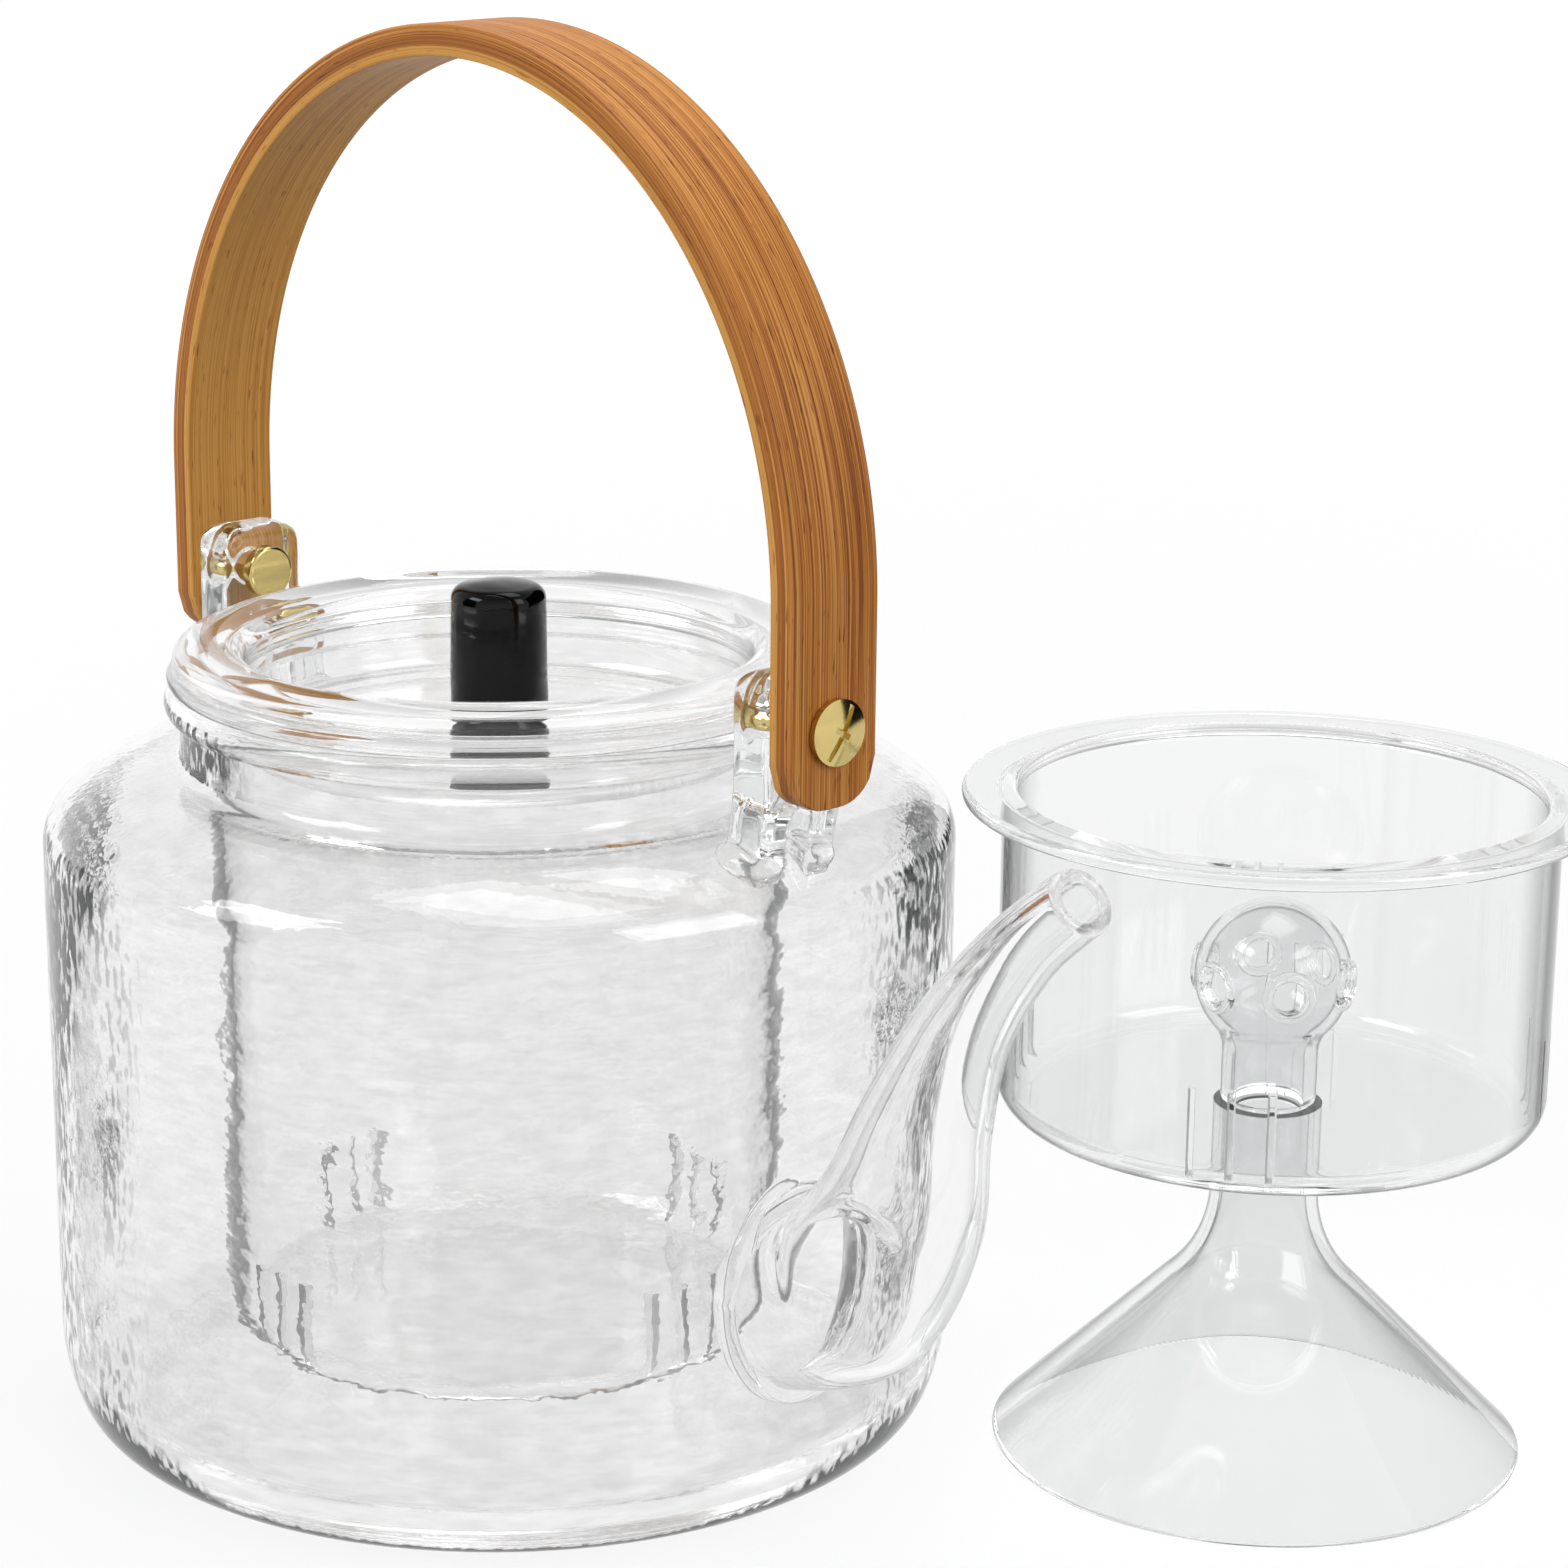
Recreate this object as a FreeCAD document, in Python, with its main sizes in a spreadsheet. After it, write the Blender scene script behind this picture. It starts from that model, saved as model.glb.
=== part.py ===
import FreeCAD, Part
import math
import operator
import os
import types
import Sketcher

# Glass teapot with a lid, a lift-out tea infuser, a folding bamboo handle and a steam infuser that
# stands beside it. Millimetres, +Z up, origin at the centre of the pot's foot, spout along +X.

SIZES = (
    ("body_radius", 70.0, "pot: outside of the straight wall"),
    ("wall", 3.0, "pot: glass thickness"),
    ("base_thick", 4.0, "pot: glass thickness of the foot"),
    ("base_radius", 60.4, "pot: flat that it rests on"),
    ("base_tight", 8.0, "pot: tighter arc of the foot's corner"),
    ("base_inner", 10.0, "pot: inside corner of the foot"),
    ("wall_start", 16.2, "pot: height where the wall becomes straight"),
    ("wall_top", 92.5, "pot: height where the shoulder begins"),
    ("shoulder_tight", 8.0, "pot: tighter arc of the shoulder"),
    ("shoulder_top", 104.6, "pot: height of the shoulder at the neck"),
    ("neck_fillet", 2.0, "pot: hollow between shoulder and neck"),
    ("lip_radius", 51.0, "pot: outside of the rolled lip"),
    ("lip_height", 114.0, "pot: middle of the rolled lip"),
    ("lip_bead", 2.3, "pot: radius of the rolled lip"),
    ("lip_ease", 1.0, "pot: inside edge of the mouth"),
    ("spout_wall", 2.0, "spout: glass thickness"),
    ("spout_lip", 0.8, "spout: rounding of the pouring edge"),
    ("root_x", 58.0, "spout: where its root section stands, inside the wall"),
    ("root_height", 38.0, "spout: middle of the root"),
    ("root_half_width", 13.6, "spout: half width of the root"),
    ("root_half_height", 18.5, "spout: half height of the root"),
    ("lug_width", 14.8, "lug: across the handle's end"),
    ("lug_outer", 69.95, "lug: face next to the handle"),
    ("lug_inner", 61.5, "lug: face next to the lid"),
    ("lug_top", 130.0, "lug: height of its top"),
    ("lug_waist", 113.0, "lug: height where its faces start to lean"),
    ("lug_foot_outer", 66.0, "lug: outer face inside the shoulder"),
    ("lug_foot_inner", 58.6, "lug: inner face inside the shoulder"),
    ("lug_foot_depth", 95.0, "lug: how low the blank reaches before it is fused on"),
    ("lug_ease", 2.5, "lug: rounding of its top edges"),
    ("lug_corner", 3.6, "lug: rounding of its top corners"),
    ("lug_edge", 1.2, "lug: rounding of its upright edges"),
    ("notch_width", 4.4, "lug: gap between its two feet"),
    ("notch_top", 110.5, "lug: height of that gap"),
    ("pad_x", 62.4, "lug: middle of each melted foot"),
    ("pad_y", 4.9, "lug: middle of each melted foot"),
    ("pad_z", 101.8, "lug: middle of each melted foot"),
    ("pad_long", 6.2, "lug: half length of a melted foot"),
    ("pad_wide", 4.6, "lug: half width of a melted foot"),
    ("pad_high", 3.0, "lug: half height of a melted foot"),
    ("pivot_height", 122.6, "handle: height of the pivots"),
    ("running_gap", 0.05, "handle: radial play on the barrels"),
    ("barrel_radius", 2.75, "barrel: outside of its sleeve"),
    ("barrel_end", 74.9, "barrel: end of its sleeve"),
    ("cap_face", 59.5, "barrel: face of its cap"),
    ("cap_radius", 4.2, "barrel: outside of its cap"),
    ("cap_ease", 0.5, "barrel: rounding of its cap"),
    ("thread_radius", 1.75, "barrel: threaded hole"),
    ("thread_start", 65.5, "barrel: bottom of the threaded hole"),
    ("screw_tip", 66.4, "screw: end of its shank"),
    ("head_seat", 75.3, "screw: underside of its head"),
    ("head_edge", 0.9, "screw: thickness of the head at its rim"),
    ("head_dome", 0.75, "screw: height of the dome on the head"),
    ("head_radius", 4.8, "screw: outside of the head"),
    ("slot_width", 0.9, "screw: driver slot"),
    ("slot_length", 8.6, "screw: driver slot"),
    ("cross_length", 3.0, "screw: short cross slot"),
    ("slot_depth", 0.8, "screw: depth of the slots below the dome"),
    ("slot_lean", -31.0, "screw: turn of the slot from upright, degrees"),
    ("arch_radius", 75.1, "handle: outside of the arch and of its legs"),
    ("arch_centre", 139.7, "handle: height of the arch's centre"),
    ("strap_width", 16.0, "handle: width of the bamboo strip"),
    ("ply_thick", 1.57, "handle: one layer of bamboo"),
    ("glue_line", 0.03, "handle: gap between two layers"),
    ("leg_drop", 11.2, "handle: how far its ends reach below the pivots"),
    ("end_corner", 6.6, "handle: rounding of its ends"),
    ("strap_edge", 1.0, "handle: rounding of its long edges"),
    ("lid_radius", 49.5, "lid: outside of the flange"),
    ("lid_under", 119.4, "lid: underside of the flange"),
    ("lid_thick", 2.8, "lid: thickness of the flange"),
    ("dish_radius", 40.8, "lid: outside of the dish"),
    ("dish_wall", 2.2, "lid: glass thickness of the dish"),
    ("dish_bottom", 106.2, "lid: underside of the dish"),
    ("dish_corner", 5.0, "lid: outside corner of the dish"),
    ("dish_ease", 2.5, "lid: rounding where the flange turns into the dish"),
    ("knob_radius", 7.5, "knob: outside"),
    ("knob_top", 130.8, "knob: height of its upper rim"),
    ("knob_dome", 0.6, "knob: crown of its top"),
    ("knob_ease", 2.2, "knob: rounding of its upper rim"),
    ("knob_foot", 0.8, "knob: rounding of its lower rim"),
    ("cup_radius", 43.5, "tea infuser: outside of its wall"),
    ("cup_wall", 2.2, "tea infuser: glass thickness"),
    ("cup_bottom", 14.0, "tea infuser: underside of its floor"),
    ("cup_corner", 6.0, "tea infuser: outside corner of its floor"),
    ("cup_under", 116.5, "tea infuser: underside of its flange"),
    ("cup_flange", 50.5, "tea infuser: outside of its flange"),
    ("cup_flange_thick", 2.7, "tea infuser: thickness of its flange"),
    ("slit_width", 1.0, "both infusers: width of a straining slit"),
    ("slit_height", 13.5, "both infusers: height of a straining slit"),
    ("slit_pitch", 5.7, "both infusers: spacing of the slits in a group"),
    ("slit_rise", 3.0, "both infusers: lower end of the slits above the underside"),
    ("steam_x", 91.5, "steam infuser: where it stands"),
    ("steam_y", 75.6, "steam infuser: where it stands"),
    ("steam_turn", -56.5, "steam infuser: how it is turned, degrees"),
    ("steam_radius", 41.3, "steam infuser: outside of the cup"),
    ("steam_wall", 2.3, "steam infuser: glass thickness of the cup"),
    ("steam_floor", 54.0, "steam infuser: underside of the cup"),
    ("steam_corner", 5.0, "steam infuser: outside corner of the cup"),
    ("steam_under", 102.3, "steam infuser: underside of the flange"),
    ("steam_flange", 47.4, "steam infuser: outside of the flange"),
    ("steam_flange_thick", 2.2, "steam infuser: thickness of the flange"),
    ("tube_radius", 7.2, "steam infuser: outside of the riser tube"),
    ("tube_bore", 5.3, "steam infuser: bore of the riser tube"),
    ("bulb_height", 75.6, "steam infuser: middle of the bulb"),
    ("bulb_radius", 11.8, "steam infuser: outside of the bulb"),
    ("bulb_wall", 1.5, "steam infuser: glass thickness of the bulb"),
    ("bulb_hollow", 6.0, "steam infuser: hollow between tube and bulb"),
    ("steam_hole", 2.45, "steam infuser: radius of a steam hole"),
    ("steam_hole_turn", 20.0, "steam infuser: turn of the first steam hole, degrees"),
    ("funnel_neck", 8.2, "steam infuser: outside of the funnel's neck"),
    ("funnel_wall", 1.8, "steam infuser: glass thickness of the funnel"),
    ("funnel_neck_end", 41.5, "steam infuser: height where the funnel starts to flare"),
    ("funnel_bend", 20.0, "steam infuser: radius of the flare"),
    ("funnel_rim", 1.0, "steam infuser: rounding of the funnel's rim"),
)

# The spout's centre line and thickness, from above the root to the pouring edge: distance from the
# pot's axis, height, radius, and how steeply the tube climbs there, in degrees.
SPOUT_STATIONS = (
    ("low", 77.0, 39.6, 14.1, 31.0),
    ("belly", 83.6, 45.0, 13.8, 48.0),
    ("bend", 90.6, 57.0, 12.0, 68.0),
    ("stem", 95.0, 71.0, 9.4, 71.0),
    ("rise", 101.9, 86.2, 6.95, 59.0),
    ("throat", 112.2, 99.6, 5.5, 46.0),
    ("tip", 122.7, 108.8, 5.0, 39.0),
)

HALF_TURN = 180.0
FULL_TURN = 360.0
SLITS_PER_GROUP = 3
SLIT_GROUPS = 4
STEAM_HOLES = 6
OVERCUT = 2.0


class Dim:
    """A size that keeps its value together with the sheet formula that drives it."""

    def __init__(self, value, formula):
        self.value = float(value)
        self.formula = formula

    def __add__(self, other):
        return combine(self, "+", other)

    def __sub__(self, other):
        return combine(self, "-", other)

    def __mul__(self, other):
        return combine(self, "*", other)

    def __truediv__(self, other):
        return combine(self, "/", other)

    def __neg__(self):
        return Dim(-self.value, f"(-1 * {self.formula})")


OPERATIONS = {"+": operator.add, "-": operator.sub, "*": operator.mul, "/": operator.truediv}


def dim(number):
    """A plain number as a size that nothing drives."""
    if isinstance(number, Dim):
        return number
    return Dim(number, repr(float(number)))


def combine(left, sign, right):
    """Two sizes joined by a sign, in value and in formula."""
    left = dim(left)
    right = dim(right)
    return Dim(OPERATIONS[sign](left.value, right.value), f"({left.formula} {sign} {right.formula})")


def root(number):
    """Square root of a size."""
    return Dim(math.sqrt(number.value), f"sqrt({number.formula})")


doc = FreeCAD.newDocument("GlassTeapot")
sheet = doc.addObject("Spreadsheet::Sheet", "Sizes")


def fill_sheet():
    """Write every driving size into the sheet and return them by name."""
    rows = list(SIZES)
    for name, reach, height, radius, climb in SPOUT_STATIONS:
        rows.append((f"spout_{name}_x", reach, "spout: distance from the pot's axis"))
        rows.append((f"spout_{name}_z", height, "spout: height of the centre line"))
        rows.append((f"spout_{name}_radius", radius, "spout: outside radius"))
        rows.append((f"spout_{name}_climb", climb, "spout: climb of the centre line, degrees"))
    found = {}
    for line, (alias, value, note) in enumerate(rows, start=1):
        sheet.set(f"A{line}", note)
        sheet.set(f"B{line}", str(value))
        sheet.setAlias(f"B{line}", alias)
        found[alias] = Dim(value, f"Sizes.{alias}")
    doc.recompute()
    return types.SimpleNamespace(**found)


size = fill_sheet()


def new_body(label):
    """A body of the document, named for the piece it makes."""
    body = doc.addObject("PartDesign::Body", label)
    body.Label = label
    return body


def origin_feature(body, role):
    """One of a body's own origin planes or axes."""
    for feature in body.Origin.OriginFeatures:
        if feature.Role == role:
            return feature
    raise ValueError(role)


def new_sketch(body, name, plane):
    """A sketch on one of the body's origin planes."""
    sketch = body.newObject("Sketcher::SketchObject", name)
    sketch.AttachmentSupport = [(origin_feature(body, plane), "")]
    sketch.MapMode = "FlatFace"
    return sketch


def drive(sketch, constraint, value):
    """Add a dimension to a sketch and let the sheet drive it."""
    index = sketch.addConstraint(constraint)
    sketch.setExpression(f"Constraints[{index}]", value.formula)


def hold(sketch, edge, point, x, y):
    """Hold a point of an edge at a distance from the sketch's origin."""
    for value, kind, axis in ((dim(x), "DistanceX", -2), (dim(y), "DistanceY", -1)):
        if value.value == 0.0:
            sketch.addConstraint(Sketcher.Constraint("PointOnObject", edge, point, axis))
        else:
            drive(sketch, Sketcher.Constraint(kind, -1, 1, edge, point, value.value), value)


class Outline:
    """A closed outline in a sketch: corners held by sizes, joined by lines and arcs."""

    def __init__(self, sketch, x, y):
        self.sketch = sketch
        self.corners = [(dim(x), dim(y))]
        self.bends = []

    def line(self, x, y):
        self.bends.append(None)
        self.corners.append((dim(x), dim(y)))
        return self

    def left(self, x, y, radius):
        """An arc that turns left on its way to the next corner."""
        self.bends.append((dim(radius), 1))
        self.corners.append((dim(x), dim(y)))
        return self

    def right(self, x, y, radius):
        """An arc that turns right on its way to the next corner."""
        self.bends.append((dim(radius), -1))
        self.corners.append((dim(x), dim(y)))
        return self

    def close(self):
        """Draw the outline, with a straight line from the last corner to the first."""
        self.bends.append(None)
        ends = [self.draw(place, bend) for place, bend in enumerate(self.bends)]
        for place, (edge, start, finish) in enumerate(ends):
            last_edge, last_start, last_finish = ends[place - 1]
            joint = Sketcher.Constraint("Coincident", last_edge, last_finish, edge, start)
            self.sketch.addConstraint(joint)
            hold(self.sketch, edge, start, *self.corners[place])
        for (edge, start, finish), bend in zip(ends, self.bends):
            if bend:
                drive(self.sketch, Sketcher.Constraint("Radius", edge, bend[0].value), bend[0])

    def draw(self, place, bend):
        """One edge of the outline, with the numbers of its first and last point."""
        here, there = (
            FreeCAD.Vector(x.value, y.value, 0)
            for x, y in (self.corners[place], self.corners[(place + 1) % len(self.corners)])
        )
        if bend is None:
            return self.sketch.addGeometry(Part.LineSegment(here, there)), 1, 2
        radius, side = bend
        if side < 0:
            here, there = there, here
        chord = there - here
        rise = math.sqrt(max(radius.value ** 2 - (chord.Length / 2) ** 2, 0.0))
        across = FreeCAD.Vector(-chord.y, chord.x, 0).normalize()
        centre = (here + there) * 0.5 + across * rise
        circle = Part.Circle(centre, FreeCAD.Vector(0, 0, 1), radius.value)
        first, last = (math.atan2(p.y - centre.y, p.x - centre.x) for p in (here, there))
        edge = self.sketch.addGeometry(Part.ArcOfCircle(circle, first, last))
        return (edge, 1, 2) if side > 0 else (edge, 2, 1)


def draw_circle(sketch, x, y, radius):
    """A circle whose centre and radius are held by sizes."""
    centre = FreeCAD.Vector(dim(x).value, dim(y).value, 0)
    edge = sketch.addGeometry(Part.Circle(centre, FreeCAD.Vector(0, 0, 1), radius.value))
    hold(sketch, edge, 3, x, y)
    drive(sketch, Sketcher.Constraint("Radius", edge, radius.value), radius)


def draw_oval(sketch, x, y, half_width, half_height):
    """An upright ellipse whose centre and two axes are held by sizes."""
    centre = FreeCAD.Vector(dim(x).value, dim(y).value, 0)
    top = centre + FreeCAD.Vector(0, half_height.value, 0)
    side = centre + FreeCAD.Vector(half_width.value, 0, 0)
    edge = sketch.addGeometry(Part.Ellipse(top, side, centre))
    sketch.exposeInternalGeometry(edge)
    long_axis = edge + 1
    short_axis = edge + 2
    hold(sketch, edge, 3, x, y)
    sketch.addConstraint(Sketcher.Constraint("Vertical", long_axis))
    for axis, half in ((long_axis, half_height), (short_axis, half_width)):
        whole = half * 2
        drive(sketch, Sketcher.Constraint("Distance", axis, whole.value), whole)


def revolve(body, name, sketch, axis="V_Axis"):
    """Turn a sketch a full round about one of its own axes."""
    turned = body.newObject("PartDesign::Revolution", name)
    turned.Profile = sketch
    turned.ReferenceAxis = (sketch, [axis])
    turned.Angle = FULL_TURN
    doc.recompute()
    return turned


def pocket(body, name, sketch, length=None, outward=True):
    """Cut a sketch through the body, or a length along the sketch's normal, and see that it cut."""
    before = body.Shape.Volume
    cut = body.newObject("PartDesign::Pocket", name)
    cut.Profile = sketch
    if length is None:
        cut.Type = "ThroughAll"
        cut.SideType = "Symmetric"
    else:
        cut.Type = "Length"
        cut.Length = length.value
        cut.setExpression("Length", length.formula)
        cut.Reversed = outward
    doc.recompute()
    if body.Shape.Volume >= before:
        raise RuntimeError(f"{name} cuts nothing")
    return cut


def polar_pattern(body, name, feature, count):
    """Repeat a feature evenly round the body's upright axis."""
    pattern = body.newObject("PartDesign::PolarPattern", name)
    pattern.Originals = [feature]
    pattern.Axis = (origin_feature(body, "Z_Axis"), [""])
    pattern.Angle = FULL_TURN
    pattern.Occurrences = count
    body.Tip = pattern
    doc.recompute()
    return pattern


def fillet(body, name, radius, chosen):
    """Round the edges that a test chooses."""
    base = body.Tip
    names = [f"Edge{n}" for n, edge in enumerate(base.Shape.Edges, start=1) if chosen(edge)]
    rounded = body.newObject("PartDesign::Fillet", name)
    rounded.Base = (base, names)
    rounded.Radius = radius.value
    rounded.setExpression("Radius", radius.formula)
    doc.recompute()
    return rounded


def place(body, x=None, y=None, turn=None):
    """Stand a finished body where the sheet says, turned about its upright axis."""
    body.Placement = FreeCAD.Placement(
        FreeCAD.Vector(0, 0, 0), FreeCAD.Rotation(FreeCAD.Vector(0, 0, 1), dim(turn).value)
    )
    if x is not None:
        body.setExpression("Placement.Base.x", x.formula)
        body.setExpression("Placement.Base.y", y.formula)
        body.setExpression("Placement.Rotation.Angle", turn.formula)
    doc.recompute()


def eased_corner(short, long, tight):
    """A corner longer one way than the other, as a tight arc that runs into a wide one.

    Returns the wide arc's radius and how far past the tight arc's centre the two arcs meet,
    as a share of the distance between their centres.
    """
    wide = (short * short + long * long - long * tight * 2) / ((short - tight) * 2)
    return wide, tight / (wide - tight)


def shoulder_corner():
    """Radius of the shoulder's wide arc, the two arcs' centres, and the distance between them."""
    crown = neck_radius() + size.neck_fillet
    wide, share = eased_corner(
        size.shoulder_top - size.wall_top, size.body_radius - crown, size.shoulder_tight
    )
    tight_centre = (size.body_radius - size.shoulder_tight, size.wall_top)
    wide_centre = (crown, size.shoulder_top - wide)
    return wide, tight_centre, wide_centre, wide - size.shoulder_tight


def neck_radius():
    return size.lip_radius - size.lip_bead


def shoulder_meeting(inset):
    """Where the shoulder's two arcs meet, on its surface or an inset below it."""
    wide, tight_centre, wide_centre, apart = shoulder_corner()
    share = (size.shoulder_tight - inset) / apart
    return tuple(near + (near - far) * share for near, far in zip(tight_centre, wide_centre))


def make_pot_body():
    """Blown pot: flat foot, straight wall, rounded shoulder, short neck and rolled lip."""
    body = new_body("pot_body")
    sketch = new_sketch(body, "pot_outline", "XZ_Plane")
    base_wide, base_share = eased_corner(
        size.body_radius - size.base_radius, size.wall_start, size.base_tight
    )
    foot_x = size.base_radius + (size.base_radius - size.body_radius + base_wide) * base_share
    foot_z = size.base_tight + (size.base_tight - size.wall_start) * base_share
    wide = shoulder_corner()[0]
    crown = neck_radius() + size.neck_fillet
    inner = size.body_radius - size.wall
    mouth = neck_radius() - size.wall
    lip_top = size.lip_height + size.lip_bead
    outline = Outline(sketch, 0, 0)
    outline.line(size.base_radius, 0)
    outline.left(foot_x, foot_z, size.base_tight)
    outline.left(size.body_radius, size.wall_start, base_wide)
    outline.line(size.body_radius, size.wall_top)
    outline.left(*shoulder_meeting(dim(0)), size.shoulder_tight)
    outline.left(crown, size.shoulder_top, wide)
    outline.right(neck_radius(), size.shoulder_top + size.neck_fillet, size.neck_fillet)
    outline.line(neck_radius(), size.lip_height - size.lip_bead)
    outline.left(size.lip_radius, size.lip_height, size.lip_bead)
    outline.left(neck_radius(), lip_top, size.lip_bead)
    outline.line(mouth + size.lip_ease, lip_top)
    outline.left(mouth, lip_top - size.lip_ease, size.lip_ease)
    outline.line(mouth, size.shoulder_top + size.neck_fillet)
    outline.left(crown, size.shoulder_top - size.wall, size.neck_fillet + size.wall)
    outline.right(*shoulder_meeting(size.wall), wide - size.wall)
    outline.right(inner, size.wall_top, size.shoulder_tight - size.wall)
    outline.line(inner, size.base_thick + size.base_inner)
    outline.right(inner - size.base_inner, size.base_thick, size.base_inner)
    outline.line(0, size.base_thick)
    outline.close()
    revolve(body, "pot_turned", sketch)
    hole = new_sketch(body, "spout_hole_outline", "YZ_Plane")
    hole.AttachmentOffset = FreeCAD.Placement(FreeCAD.Vector(0, 0, size.root_x.value), FreeCAD.Rotation())
    hole.setExpression("AttachmentOffset.Base.z", size.root_x.formula)
    draw_oval(
        hole,
        0,
        size.root_height,
        size.root_half_width - size.spout_wall,
        size.root_half_height - size.spout_wall,
    )
    pocket(body, "spout_hole", hole, size.body_radius - size.root_x + OVERCUT)
    return body


def spout_section(body, name, inset):
    """A round section across the spout's centre line at one station."""
    reach, height, radius, climb = (
        getattr(size, f"spout_{name}_{what}") for what in ("x", "z", "radius", "climb")
    )
    lean = dim(90) - climb
    sketch = new_sketch(body, f"{name}_section_{'outer' if inset is None else 'bore'}", "XY_Plane")
    sketch.AttachmentOffset = FreeCAD.Placement(
        FreeCAD.Vector(reach.value, 0, height.value),
        FreeCAD.Rotation(FreeCAD.Vector(0, 1, 0), lean.value),
    )
    sketch.setExpression("AttachmentOffset.Base.x", reach.formula)
    sketch.setExpression("AttachmentOffset.Base.z", height.formula)
    sketch.setExpression("AttachmentOffset.Rotation.Angle", lean.formula)
    draw_circle(sketch, 0, 0, radius if inset is None else radius - inset)
    return sketch


def spout_loft(body, kind, name, inset):
    """The spout's outside or its bore: an upright oval at the root, then round sections."""
    first = new_sketch(body, f"{name}_root", "YZ_Plane")
    first.AttachmentOffset = FreeCAD.Placement(FreeCAD.Vector(0, 0, size.root_x.value), FreeCAD.Rotation())
    first.setExpression("AttachmentOffset.Base.z", size.root_x.formula)
    thin = dim(0) if inset is None else inset
    draw_oval(first, 0, size.root_height, size.root_half_width - thin, size.root_half_height - thin)
    sections = [spout_section(body, station[0], inset) for station in SPOUT_STATIONS]
    loft = body.newObject(kind, name)
    loft.Profile = first
    loft.Sections = sections
    doc.recompute()
    return loft


def make_spout():
    """Drawn glass spout: wide oval root on the wall, narrowing to a rounded pouring edge."""
    body = new_body("spout")
    spout_loft(body, "PartDesign::AdditiveLoft", "spout_outside", None)
    spout_loft(body, "PartDesign::SubtractiveLoft", "spout_bore", size.spout_wall)
    trim = new_sketch(body, "wall_outline", "XY_Plane")
    draw_circle(trim, 0, 0, size.body_radius)
    pocket(body, "wall_trim", trim)
    tip = FreeCAD.Vector(size.spout_tip_x.value, 0, size.spout_tip_z.value)

    def pouring_edge(edge):
        return (edge.CenterOfMass - tip).Length < size.spout_tip_radius.value

    fillet(body, "pouring_edge", size.spout_lip, pouring_edge)
    return body


def cut_corners(body, name, half_width, level, radius, upward):
    """Round the two corners of a strip, seen along X, at its upper or lower end."""
    sketch = new_sketch(body, f"{name}_outline", "YZ_Plane")
    past = OVERCUT if upward else -OVERCUT
    inside = level - radius if upward else level + radius
    for side in (1, -1):
        edge = half_width * side
        outline = Outline(sketch, edge - radius * side, level)
        if (side > 0) == upward:
            outline.right(edge, inside, radius)
        else:
            outline.left(edge, inside, radius)
        outline.line(edge + OVERCUT * side, inside)
        outline.line(edge + OVERCUT * side, level + past)
        outline.line(edge - radius * side, level + past)
        outline.close()
    pocket(body, name, sketch)


def trim_to_shoulder(body):
    """Cut away what lies under the pot's shoulder, so that the piece sits on the glass."""
    sketch = new_sketch(body, "shoulder_outline", "XZ_Plane")
    crown = neck_radius() + size.neck_fillet
    outline = Outline(sketch, 0, size.wall_start)
    outline.line(size.body_radius, size.wall_start)
    outline.line(size.body_radius, size.wall_top)
    outline.left(*shoulder_meeting(dim(0)), size.shoulder_tight)
    outline.left(crown, size.shoulder_top, shoulder_corner()[0])
    outline.line(0, size.shoulder_top)
    outline.close()
    before = body.Shape.Volume
    groove = body.newObject("PartDesign::Groove", "shoulder_trim")
    groove.Profile = sketch
    groove.ReferenceAxis = (sketch, ["V_Axis"])
    groove.Angle = FULL_TURN
    doc.recompute()
    if body.Shape.Volume >= before:
        raise RuntimeError("shoulder_trim cuts nothing")


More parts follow.
